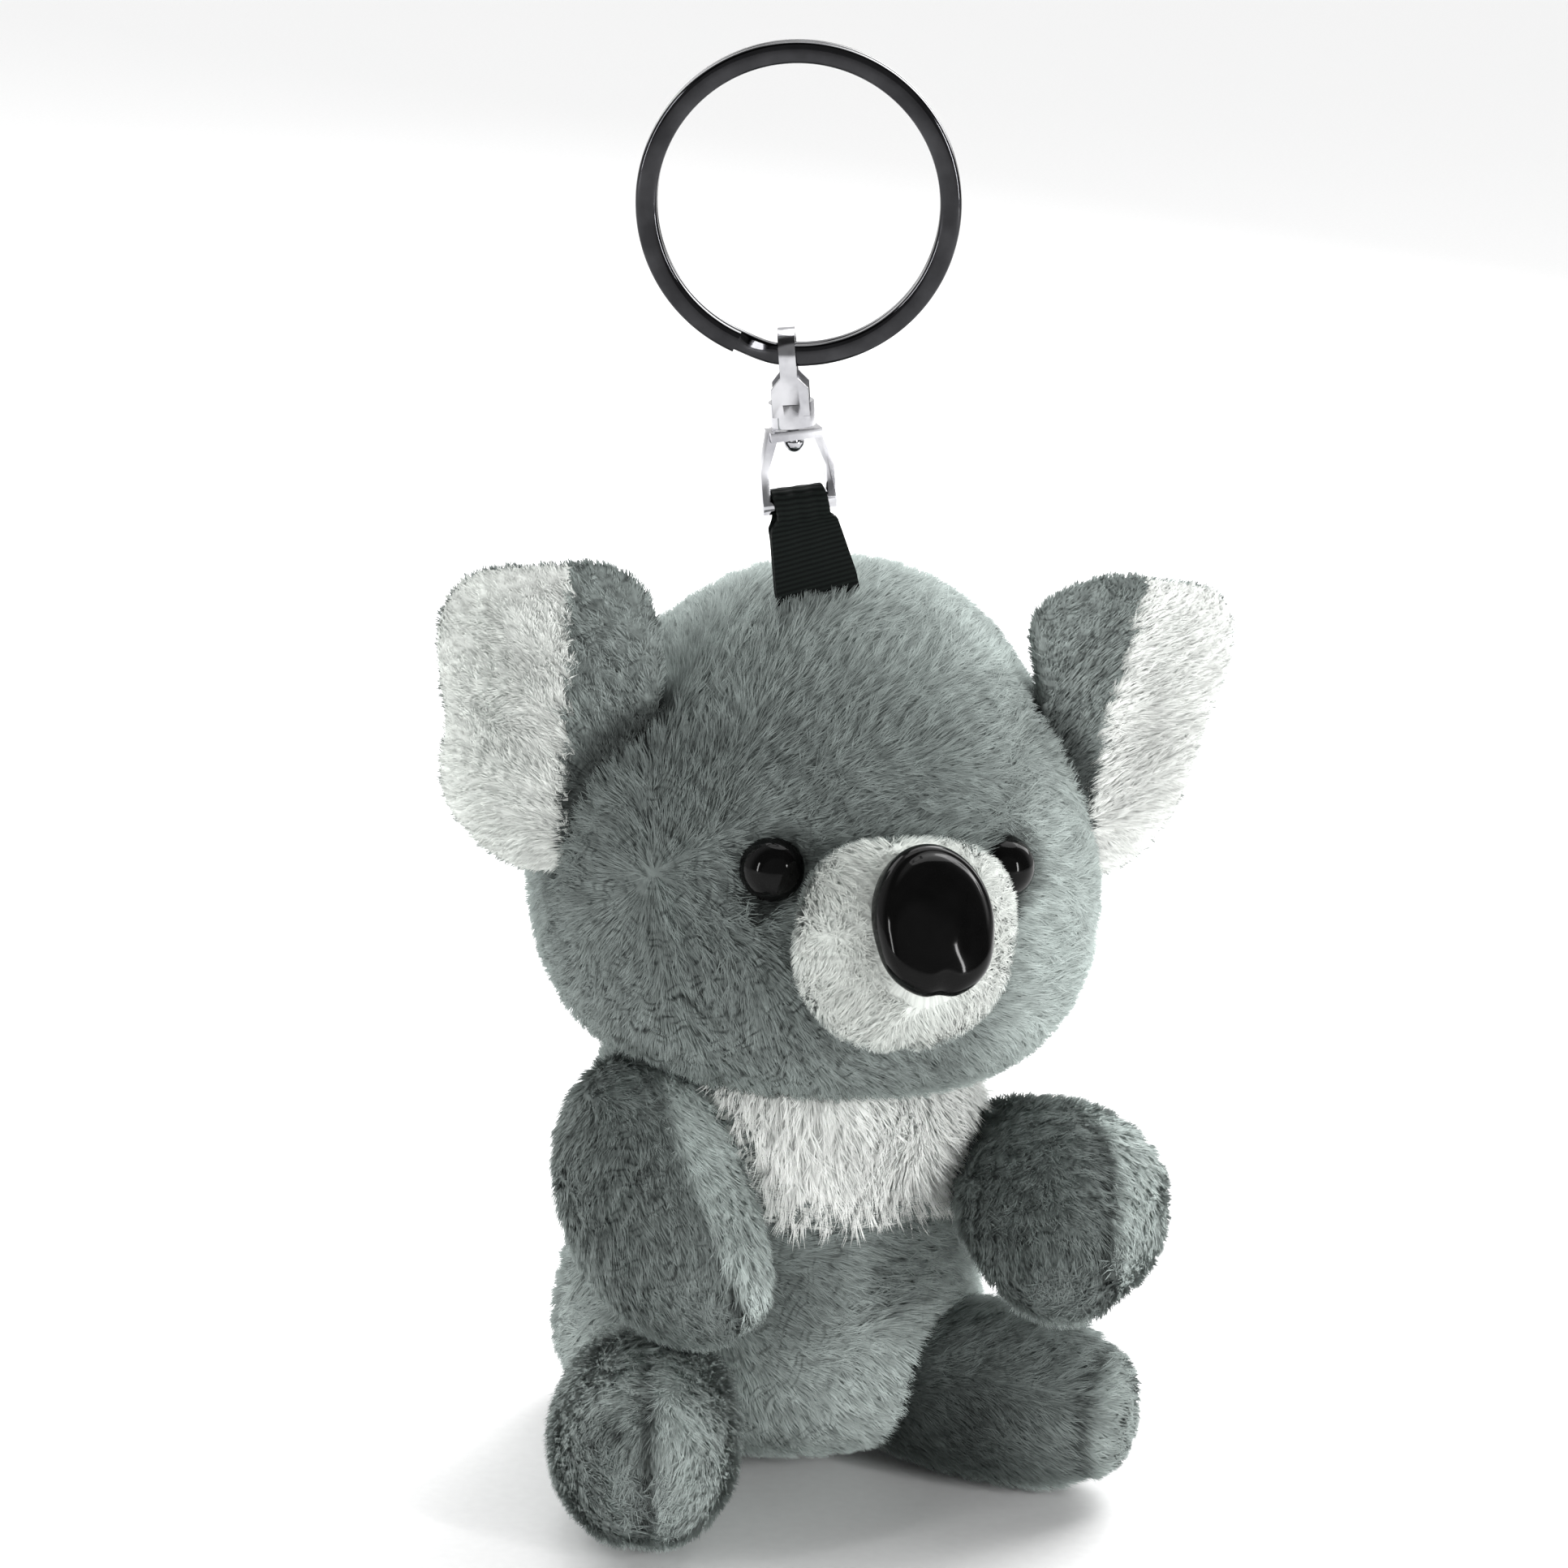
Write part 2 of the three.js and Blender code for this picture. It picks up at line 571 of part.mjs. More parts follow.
const ribbonLoop = ribbonWhole.subtract(headForm(CROWN_ROOM));
const ribbonTab = ribbonWhole.intersect(headForm(0));
const ribbonSlot = solidOf(ribbonSide(RIBBON_TAB + GAP, GAP).applyMatrix4(ribbonFrame));

// Head skin and stuffing, with their openings

const neckOpening = rod(NECK_RADIUS, headRise - HEAD_HALF_HEIGHT - OVERRUN, headRise);
const headSkin = headForm(0)
  .subtract(headForm(-SKIN))
  .subtract(neckOpening)
  .subtract(eyeRight.hole)
  .subtract(eyeLeft.hole)
  .subtract(ribbonSlot);
const headStuffing = headForm(-SKIN - GAP, STUFFING_AROUND, STUFFING_RINGS)
  .subtract(eyeRight.pocket)
  .subtract(eyeLeft.pocket)
  .subtract(ribbonSlot);

// Stirrup, in the frame of the hardware: the bar lies along X and the chain goes up Z

function stirrupOutline(inset) {
  const foot = STIRRUP_SLOT / 2 + STIRRUP_ARM - inset;
  const shoulder = STIRRUP_SHOULDER_WIDTH / 2 - inset;
  const top = BRIDGE_RISE + BRIDGE_THICKNESS / 2 - (inset * BRIDGE_THICKNESS) / STIRRUP_ARM;
  const low = inset > 0 ? 0 : -BAR_RADIUS;
  const bend = BRIDGE_RISE / 2;
  return [[-foot, low], [foot, low], [foot, bend], [shoulder, top], [-shoulder, top], [-foot, bend]];
}

const barTurn = new THREE.Matrix4().makeRotationAxis(Y_AXIS, Math.PI / 2);
const stirrupHalfWidth = STIRRUP_SLOT / 2 + STIRRUP_ARM;
const slotHalf = STIRRUP_SLOT / 2;
const slotFoot = [
  [-slotHalf, -OVERRUN],
  [slotHalf, -OVERRUN],
  [slotHalf, BAR_RADIUS],
  [-slotHalf, BAR_RADIUS],
];
const bridgeBlock = new THREE.BoxGeometry(STIRRUP_SHOULDER_WIDTH, BRIDGE_DEPTH, BRIDGE_THICKNESS)
  .translate(0, 0, BRIDGE_RISE);
const stirrup = solidOf(plate(stirrupOutline(0), STIRRUP_DEPTH))
  .subtract(solidOf(plate(stirrupOutline(STIRRUP_ARM), OVERRUN)))
  .subtract(solidOf(plate(slotFoot, OVERRUN)))
  .add(rod(BAR_RADIUS, -stirrupHalfWidth, stirrupHalfWidth, barTurn))
  .add(solidOf(bridgeBlock))
  .subtract(rod(RIVET_RADIUS + GAP, BRIDGE_RISE - BRIDGE_THICKNESS, BRIDGE_RISE + BRIDGE_THICKNESS));

// Swivel, in the same frame before its own turn

const barrelLow = BRIDGE_RISE + BRIDGE_THICKNESS / 2 + GAP;
const barrelTop = barrelLow + BARREL_HEIGHT;
const eyeRise = barrelTop + STRAP_RISE;
const wireHalf = WIRE_THICKNESS + TURN_GAP / 2;
const eyeHoleRadius = Math.hypot(wireHalf, WIRE_WIDTH / 2) + GAP;
const strapOuter = eyeHoleRadius + STRAP_THICKNESS;
const strapLow = barrelTop - BARREL_HEIGHT / 2;
const legOut = BARREL_RADIUS - GAP;
const legIn = legOut - STRAP_THICKNESS;
const wrapStart = 90 - STRAP_WRAP / 2;
const wrapEnd = wrapStart + STRAP_WRAP;

const strapSide = [
  [legIn, strapLow],
  [legOut, strapLow],
  ...arc([0, eyeRise], strapOuter, wrapStart, wrapEnd),
  [-legOut, strapLow],
  [-legIn, strapLow],
  ...arc([0, eyeRise], eyeHoleRadius, wrapEnd, wrapStart),
];
const strapFront = [
  [-STRAP_WIDTH / 2, strapLow],
  [STRAP_WIDTH / 2, strapLow],
  [STRAP_WIDTH / 2, barrelTop + STRAP_RISE / 3],
  [STRAP_TOP_WIDTH / 2, eyeRise - eyeHoleRadius],
  [STRAP_TOP_WIDTH / 2, eyeRise + strapOuter],
  [-STRAP_TOP_WIDTH / 2, eyeRise + strapOuter],
  [-STRAP_TOP_WIDTH / 2, eyeRise - eyeHoleRadius],
  [-STRAP_WIDTH / 2, barrelTop + STRAP_RISE / 3],
];
const strap = solidOf(plate(strapSide, STRAP_WIDTH).rotateZ(Math.PI / 2))
  .intersect(solidOf(plate(strapFront, 2 * (strapOuter + OVERRUN))));
const rivetTop = barrelTop - BARREL_HEIGHT / 4;
const swivelEye = strap
  .add(rod(BARREL_RADIUS, barrelLow, barrelTop))
  .subtract(rod(RIVET_RADIUS + GAP / 2, barrelLow - GAP, rivetTop + GAP));
const rivetHeadTop = BRIDGE_RISE - BRIDGE_THICKNESS / 2 - GAP;
const rivetHead = softForm(
  (unit) => new THREE.Vector3(
    unit.x * RIVET_HEAD_RADIUS,
    unit.y * RIVET_HEAD_RADIUS,
    Math.min(unit.z, 0) * RIVET_HEAD_HEIGHT + rivetHeadTop,
  ),
  SMALL_AROUND,
  SMALL_RINGS,
);
const swivelRivet = rod(RIVET_RADIUS, rivetHeadTop - RIVET_HEAD_HEIGHT / 2, rivetTop).add(rivetHead);

// Split ring: a flat wire wound twice about Y, with one sideways step between the turns. Its eye lies at the
// origin and its middle above it.

const ringMiddle = RING_RADIUS - WIRE_WIDTH / 2;
const turnPitch = WIRE_THICKNESS + TURN_GAP;

function wireShift(degrees) {
  const intoStep = (degrees - (360 - STEP_SPAN)) / STEP_SPAN;
  return turnPitch * (THREE.MathUtils.smoothstep(intoStep, 0, 1) - 1 / 2);
}

function wireSection() {
  const across = WIRE_WIDTH / 2;
  const through = WIRE_THICKNESS / 2;
  const corner = through * WIRE_CORNER_SHARE;
  return [
    [across - corner, -through], [across, corner - through], [across, through - corner],
    [across - corner, through], [corner - across, through], [-across, through - corner],
    [-across, corner - through], [corner - across, -through],
  ];
}

function windRing() {
  const section = wireSection();
  const sides = section.length;
  const total = RING_TURNS * 360 - STEP_SPAN;
  const steps = Math.round((RING_STEPS * total) / 360);
  const start = radians(STEP_PLACE + STEP_SPAN / 2);
  const places = [];
  const faces = [];
  for (let i = 0; i <= steps; i += 1) {
    const degrees = (total * i) / steps;
    const angle = start + radians(degrees);
    for (const [out, through] of section) {
      const reach = ringMiddle + out;
      const rise = ringMiddle - reach * Math.cos(angle);
      places.push(reach * Math.sin(angle), through + wireShift(degrees), rise);
    }
  }
  for (let i = 0; i < steps; i += 1) {
    for (let j = 0; j < sides; j += 1) {
      const a = i * sides + j;
      const b = i * sides + ((j + 1) % sides);
      faces.push(a, b, b + sides, a, b + sides, a + sides);
    }
  }
  const last = steps * sides;
  for (let j = 1; j < sides - 1; j += 1) {
    faces.push(0, j + 1, j);
    faces.push(last, last + j, last + j + 1);
  }
  const geometry = new THREE.BufferGeometry();
  geometry.setAttribute('position', new THREE.Float32BufferAttribute(places, 3));
  geometry.setIndex(faces);
  return geometry;
}

// The least gap between the two turns, measured on the points of the wound wire.
function leastTurnGap(geometry) {
  const places = geometry.attributes.position;
  const sides = wireSection().length;
  const rings = places.count / sides;
  const here = new THREE.Vector3();
  const there = new THREE.Vector3();
  let least = Infinity;
  for (let i = 0; i < rings; i += 1) {
    for (let k = i + Math.round(RING_STEPS / 2); k < rings; k += 1) {
      for (let j = 0; j < sides * sides; j += 1) {
        here.fromBufferAttribute(places, i * sides + (j % sides));
        there.fromBufferAttribute(places, k * sides + Math.floor(j / sides));
        least = Math.min(least, here.distanceTo(there));
      }
    }
  }
  return least;
}

const woundRing = windRing();
console.log(`Least gap between the split ring's turns: ${leastTurnGap(woundRing).toFixed(3)} mm`);

// Finishes

function finish(color, roughness, metalness = 0) {
  return new THREE.MeshStandardMaterial({ color, roughness, metalness });
}

const greyPlush = finish(0x838a88, 0.95);
const whitePlush = finish(0xdcdfd8, 0.95);
const fibre = finish(0xf0f0ea, 1);
const glossBlack = finish(0x0b0b0c, 0.12);
const washerWhite = finish(0xe6e6e0, 0.5);
const blackRibbon = finish(0x101313, 0.7);
const nickel = finish(0xc9cacb, 0.18, 1);

// The assembly

const koala = new THREE.Group();
koala.add(
  meshOf('head_skin', headSkin, greyPlush),
  meshOf('head_stuffing', headStuffing, fibre),
  meshOf('muzzle_skin', muzzleSkin, whitePlush),
  meshOf('muzzle_stuffing', muzzleStuffing, fibre),
  meshOf('nose', nose, glossBlack),
  meshOf('nose_washer', noseWasher, washerWhite),
  meshOf('torso_skin', torsoSkin, greyPlush),
  meshOf('chest_bib', chestBib, whitePlush),
  meshOf('torso_stuffing', torsoStuffing, fibre),
  meshOf('ribbon_tab', ribbonTab, blackRibbon),
  meshOf('ribbon_loop', ribbonLoop, blackRibbon),
);

for (const [side, eye, ear, arm, leg] of [
  ['right', eyeRight, earRight, armRight, legRight],
  ['left', eyeLeft, earLeft, armLeft, legLeft],
]) {
  koala.add(
    meshOf(`eye_${side}`, eye.bead, glossBlack),
    meshOf(`eye_${side}_washer`, eye.washer, washerWhite),
    meshOf(`ear_${side}_back`, ear.back, greyPlush),
    meshOf(`ear_${side}_front`, ear.front, whitePlush),
    meshOf(`arm_${side}_skin`, arm.skin, greyPlush),
    meshOf(`arm_${side}_stuffing`, arm.stuffing, fibre),
    meshOf(`leg_${side}_skin`, leg.skin, greyPlush),
    meshOf(`leg_${side}_stuffing`, leg.stuffing, fibre),
  );
}

const hardware = new THREE.Group();
hardware.position.copy(barPlace);
hardware.rotation.y = radians(-HARDWARE_LEAN);
hardware.add(meshOf('stirrup', stirrup, nickel));

const swivel = new THREE.Group();
swivel.rotation.z = radians(SWIVEL_TURN);
swivel.add(meshOf('swivel_eye', swivelEye, nickel), meshOf('swivel_rivet', swivelRivet, nickel));

const ring = new THREE.Group();
ring.position.z = eyeRise;
ring.rotation.y = radians(RING_SKEW);
ring.add(meshOf('split_ring', solidOf(woundRing), nickel));

swivel.add(ring);
hardware.add(swivel);
koala.add(hardware);

export default koala;
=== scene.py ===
# %% [markdown]
# # A plush koala on a key ring
#
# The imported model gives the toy's construction: sewn skins over stuffing, beads on shanks, a ribbon, a swivel
# and a split ring, all as plain facets. This file dresses it. Each soft piece is modelled again as a smooth form
# of the same size, and a pile of fine hairs is grown on it. The sizes here are in millimetres, and MM turns them
# into Blender's metres. The frame comes first, because every piece is placed by it.

# %% Load the frame
import contextlib
import json
import math

import bpy
import numpy as np
from mathutils import Matrix, Vector
from mathutils.kdtree import KDTree


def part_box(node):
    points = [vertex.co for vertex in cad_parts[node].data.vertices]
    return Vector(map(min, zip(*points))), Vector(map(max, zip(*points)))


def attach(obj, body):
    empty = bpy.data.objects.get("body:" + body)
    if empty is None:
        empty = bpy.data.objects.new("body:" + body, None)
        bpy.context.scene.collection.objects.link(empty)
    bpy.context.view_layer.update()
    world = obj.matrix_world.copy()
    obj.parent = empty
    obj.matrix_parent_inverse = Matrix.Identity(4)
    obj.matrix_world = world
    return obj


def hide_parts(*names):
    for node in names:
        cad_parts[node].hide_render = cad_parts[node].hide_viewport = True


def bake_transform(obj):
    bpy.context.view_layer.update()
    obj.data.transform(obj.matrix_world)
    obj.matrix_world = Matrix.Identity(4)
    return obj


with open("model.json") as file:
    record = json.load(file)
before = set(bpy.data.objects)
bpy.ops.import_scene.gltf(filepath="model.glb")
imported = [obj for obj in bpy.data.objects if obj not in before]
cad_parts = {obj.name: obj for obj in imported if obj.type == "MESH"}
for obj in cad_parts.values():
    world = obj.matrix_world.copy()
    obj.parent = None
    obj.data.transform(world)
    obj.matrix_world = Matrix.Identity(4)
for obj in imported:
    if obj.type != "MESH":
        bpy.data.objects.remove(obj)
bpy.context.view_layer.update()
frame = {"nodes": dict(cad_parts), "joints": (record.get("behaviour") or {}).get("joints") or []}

MM = 0.001
nodes = frame["nodes"]

# %% [markdown]
# ## The camera
#
# The photograph looks slightly down on the toy, from a little to its right, and the toy leans in the picture. So
# the camera stands at that azimuth and elevation and is rolled the other way. The lens follows from how many
# pixels a millimetre takes at the head's middle, and the shift puts that point on its own pixel.

# %% Camera
AZIMUTH = -17  # degrees
ELEVATION = 15
ROLL = 5
DISTANCE = 450  # from the head's middle
HEAD_RISE = 62.7
PHOTO_PIXELS = 1932
AIM_PIXEL = (1002, 1012)
PIXELS_PER_MM = 12.67


def way_to(azimuth, elevation):
    """The direction at an azimuth and elevation in degrees. Azimuth 0 is the front."""
    turn, rise = math.radians(azimuth), math.radians(elevation)
    return Vector((math.sin(turn) * math.cos(rise), -math.cos(turn) * math.cos(rise), math.sin(rise)))


turn = math.radians(AZIMUTH)
roll = math.radians(ROLL)
camera_back = way_to(AZIMUTH, ELEVATION)
level = Vector((math.cos(turn), math.sin(turn), 0))
upright = camera_back.cross(level)
camera_x = level * math.cos(roll) + upright * math.sin(roll)
camera_y = upright * math.cos(roll) - level * math.sin(roll)

aim = Vector((0, 0, HEAD_RISE * MM))
bpy.ops.object.camera_add()
camera = bpy.context.object
camera.matrix_world = Matrix.Translation(aim + camera_back * DISTANCE * MM) @ Matrix(
    (camera_x, camera_y, camera_back)
).transposed().to_4x4()
camera.data.lens = camera.data.sensor_width * DISTANCE * PIXELS_PER_MM / PHOTO_PIXELS
camera.data.shift_x = (PHOTO_PIXELS / 2 - AIM_PIXEL[0]) / PHOTO_PIXELS
camera.data.shift_y = (AIM_PIXEL[1] - PHOTO_PIXELS / 2) / PHOTO_PIXELS
bpy.context.scene.camera = camera
print(f"Camera lens: {camera.data.lens:.1f} mm")

# %% [markdown]
# ## Small helpers
#
# An operator acts on whatever is selected, so each helper first selects just one object. Points go in and out
# of a mesh as one array of millimetres, which keeps the shaping of a soft form short and quick.

# %% Selecting, points and modifiers
def select_only(thing):
    if bpy.context.object and bpy.context.object.mode != "OBJECT":
        bpy.ops.object.mode_set(mode="OBJECT")
    bpy.ops.object.select_all(action="DESELECT")
    thing.select_set(True)
    bpy.context.view_layer.objects.active = thing


def added(operator, name, **settings):
    """Runs an operator that adds an object, names the object and returns it."""
    bpy.ops.object.select_all(action="DESELECT")
    operator(**settings)
    made = bpy.context.object
    made.name = name
    return made


@contextlib.contextmanager
def editing(thing):
    select_only(thing)
    bpy.ops.object.mode_set(mode="EDIT")
    yield
    bpy.ops.object.mode_set(mode="OBJECT")


def all_of(items, key, kind=np.float32, width=3):
    """One row for each vertex, corner or face."""
    flat = np.empty(len(items) * width, kind)
    items.foreach_get(key, flat)
    return flat.reshape(-1, width)


def points_of(thing):
    return all_of(thing.data.vertices, "co").astype(float) / MM


def set_points(thing, places):
    thing.data.vertices.foreach_set("co", (places * MM).astype(np.float32).ravel())
    thing.data.update()


def apply_modifier(thing, kind, **settings):
    select_only(thing)
    modifier = thing.modifiers.new(kind.title(), kind)
    for key, value in settings.items():
        setattr(modifier, key, value)
    bpy.ops.object.modifier_apply(modifier=modifier.name)


def unit(vectors):
    return vectors / np.maximum(np.linalg.norm(vectors, axis=-1, keepdims=True), 1e-9)


def smooth_step(values, low, high):
    share = np.clip((values - low) / (high - low), 0, 1)
    return share * share * (3 - 2 * share)


def bell(values, middle, reach):
    """1 at the middle, and falling to about a third at the reach."""
    return np.exp(-((values - middle) / reach) ** 2)


# %% [markdown]
# ## Wiring a material
#
# A material is a small machine of nodes. Some give a place or a pattern, some change it, and the shader at the end
# turns it into a surface. Adding a node, filling its inputs and joining it to others takes many lines, so each
# method of this class does that in one. An input takes a plain value or the output of another node.

# %% Nodes in one line each
class Wiring:
    """The nodes of a material or of the surroundings. Most methods add a node and return its output."""

    def __init__(self, holder):
        holder.use_nodes = True
        self.holder = holder
        self.tree = holder.node_tree

    def fill(self, node, inputs):
        for key, value in inputs.items():
            if isinstance(value, bpy.types.NodeSocket):
                self.tree.links.new(value, node.inputs[key])
            else:
                node.inputs[key].default_value = value

    def shaded(self, inputs):
        self.fill(self.tree.nodes["Principled BSDF"], inputs)
        return self.holder

    def add(self, kind, output, inputs, **settings):
        node = self.tree.nodes.new("ShaderNode" + kind)
        for key, value in settings.items():
            setattr(node, key, value)
        self.fill(node, inputs)
        return node.outputs[output]

    def place(self, kind="Object"):
        return self.add("TexCoord", kind, {})

    def read(self, attribute, output="Fac"):
        return self.add("Attribute", output, {}, attribute_name=attribute)

    def noise(self, vector, scale, detail=2):
        return self.add("TexNoise", "Fac", {"Vector": vector, "Scale": scale, "Detail": detail})

    def mixed(self, kind, factor, first, second):
        return self.add("Mix", 2, {0: factor, 6: first, 7: second}, data_type="RGBA", blend_type=kind)

    def ranged(self, value, low, high, to_low, to_high):
        return self.add("MapRange", "Result", {
            "Value": value, "From Min": low, "From Max": high, "To Min": to_low, "To Max": to_high,
        })

    def arithmetic(self, kind, *values):
        return self.add("Math", "Value", dict(enumerate(values)), operation=kind)

    def bump(self, height, strength, distance):
        return self.add("Bump", "Normal", {"Height": height, "Strength": strength, "Distance": distance})

    def ramp(self, value, *stops):
        """A colour for each value. A stop is a place from 0 to 1 and the colour there."""
        node = self.tree.nodes.new("ShaderNodeValToRGB")
        marks = node.color_ramp.elements
        while len(marks) < len(stops):
            marks.new(1)
        for mark, (place, colour) in zip(marks, stops):
            mark.position = place
            mark.color = (*colour, 1)
        self.fill(node, {"Fac": value})
        return node.outputs["Color"]


# %% A grained material
def grey(tone):
    return (tone, tone, tone)


def grained(name, low, high, size, detail, roughness, specular):
    """A plain material whose colour wanders between two in a fine grain."""
    wiring = Wiring(bpy.data.materials.new(name))
    grain = wiring.noise(wiring.place(), size, detail)
    return wiring.shaded({
        "Base Color": wiring.ramp(grain, (0, low), (1, high)),
        "Roughness": roughness,
        "Specular IOR Level": specular,
    })


# %% [markdown]
# ## Floor and light
#
# The photograph has a white ground and soft light without hard shadows. A wide pale floor and large lamps give
# that. The surroundings are bright behind and soft in front, with a dark band between them at both sides, so that
# bright metal gets dark outlines and reads as metal. The two strips in front are narrow: they light the pile
# without showing as more than a thin bar in the eyes and the nose.

# %% Floor
FLOOR_RADIUS = 4000

floor = added(
    bpy.ops.mesh.primitive_circle_add, "floor", vertices=96, radius=FLOOR_RADIUS * MM, fill_type="NGON"
)
floor.data.materials.append(grained("floor_paper", grey(0.86), grey(0.93), 900, 2, 0.9, 0.1))

# %% Surroundings
SKY_BANDS = ((0.16, 0.34), (0.22, 0.03), (0.46, 0.03), (0.62, 1))  # share from front to back, and brightness
SKY_STRENGTH = 0.9

world = bpy.data.worlds.new("studio")
bpy.context.scene.world = world
sky = Wiring(world)
front_to_back = sky.add("SeparateXYZ", "Y", {"Vector": sky.place("Generated")})
bands = sky.ramp(sky.ranged(front_to_back, -1, 1, 0, 1), *((place, grey(tone)) for place, tone in SKY_BANDS))
sky.fill(world.node_tree.nodes["Background"], {"Color": bands, "Strength": SKY_STRENGTH})
bpy.context.scene.view_settings.view_transform = "Standard"


# %% Lamps
def add_lamp(name, azimuth, elevation, distance, width, height, watts):
    """A rectangular lamp seen from the head at an azimuth and elevation in degrees."""
    way = way_to(azimuth, elevation)
    lamp = added(bpy.ops.object.light_add, name, type="AREA")
    lamp.location = aim + way * distance * MM
    lamp.rotation_mode = "QUATERNION"
    lamp.rotation_quaternion = way.to_track_quat("Z", "Y")
    lamp.data.shape = "RECTANGLE"
    lamp.data.size = width * MM
    lamp.data.size_y = height * MM
    lamp.data.energy = watts


SUN_TILT = (-22, 14)  # degrees
SUN_SPREAD = 50
SUN_STRENGTH = 1.9

add_lamp("strip_left", -66, 12, 900, 70, 420, 3.0)
add_lamp("strip_right", 38, 12, 900, 70, 420, 4.6)
add_lamp("back_left", -150, 30, 700, 500, 500, 2.5)
add_lamp("back_right", 130, 35, 700, 500, 500, 5.0)
overhead = added(bpy.ops.object.light_add, "overhead", type="SUN")
overhead.rotation_euler = (*map(math.radians, SUN_TILT), 0)
overhead.data.angle = math.radians(SUN_SPREAD)
overhead.data.energy = SUN_STRENGTH

# %% [markdown]
# ## The plush
#
# The toy is sewn from knitted pile fabric: a thin backing with fibres about 2 mm long that lie over in the
# direction of the nap, gather into small tufts and part between them. Blender's hair curves don't survive an
# export, so the pile is a mesh: each hair is a closed three-sided needle of four faces. Where a hair stands, how
# it leans and how long it is come from random draws and smooth random waves with fixed seeds, so every run grows
# the same coat.

# %% Smooth random waves
WAVES = 10


def ripple(places, size, seed):
    """A smooth random height of about -1.5 to 1.5, with bumps of a size in millimetres, and its slope."""
    rng = np.random.default_rng(seed)
    pitch = unit(rng.normal(size=(WAVES, 3))) * 2 * np.pi / size * rng.uniform(0.7, 1.4, (WAVES, 1))
    angle = places @ pitch.T + rng.uniform(0, 2 * np.pi, WAVES)
    share = math.sqrt(2 / WAVES)
    return np.sin(angle).sum(1) * share, np.cos(angle) @ pitch * share * size / (2 * np.pi)


# %% Growing a pile
HAIR_WIDTH = 0.2
HAIR_ROOT = 0.2  # how deep a hair's foot stands in the backing
FLOOR_CLEARANCE = 0.05
PILE_DEPTH = 0.85  # from the outer surface of the pile to the backing
ROUNDNESS = 0.2  # how much a hair shows its own round shading beside that of the surface
PRESSED = 0.7  # how far a tip that stands out is pressed back to the height of the others
BAKE_STRIP = 0.25  # share of the bake map that the backing takes
LEAST_RISE = 0.2  # a hair's least rise from the surface, in shares of its length
NEEDLE = np.array([[0, 2, 3], [2, 1, 3], [1, 0, 3], [0, 1, 2]])  # a hair's faces: three feet and a tip
FALL_AT_BACK = 1.4  # how strongly the nap turns down at the toy's back
BACK_START, BACK_END = 0, 14
DRIFT, DRIFT_TUFTS = 0.4, 6  # how far the nap wanders, and over how many tufts
STRAY, STRAY_TUFTS = 0.3, 0.6
LEAN_SPREAD = 5  # degrees
TUFT_LIFT = 4  # degrees by which a hair in the middle of a tuft stands up
JITTER = 0.07
LENGTH_RANGE = (0.8, 1.1)
TUFT_LENGTH = 0.1
BACKING_TIP, BACKING_HAIR = 0.35, 0.4  # what the backing stores in place of a hair's values


def nap_of(p, whorl):
    """Millimetres along the nap and round the point that it runs away from."""
    centre, axis = np.array(whorl[0], float), unit(np.array(whorl[1], float))
    first = unit(np.cross(axis, [0.3, 0.5, 0.8]))
    off = p - centre
    around = np.arctan2(off @ np.cross(axis, first), off @ first) * whorl[2]
    return np.stack([np.linalg.norm(off, axis=-1), around, np.zeros(off.shape[:-1])], -1)


def nothing(p, normal):
    return np.zeros(len(p))


def whole(p, normal):
    return np.ones(len(p))


def in_fixed_order(triangles):
    """Blender numbers a new ball's faces in an order that changes from run to run. Here it never does."""
    lowest = triangles.argmin(1)[:, None]
    triangles = np.take_along_axis(triangles, (lowest + np.arange(3)) % 3, 1)
    return triangles[np.lexsort(triangles.T[::-1])]


def press_down(tips, skin, skin_normals, rest):
    """Tips that stand higher than rest above the nearest skin are pressed most of the way down to that."""
    tree = KDTree(len(skin))
    for index, place in enumerate(skin):
        tree.insert(place, index)
    tree.balance()
    near = np.array([tree.find(tip)[1] for tip in tips])
    over = ((tips - skin[near]) * skin_normals[near]).sum(1) - rest
    return tips - skin_normals[near] * (PRESSED * np.maximum(over, 0))[:, None]


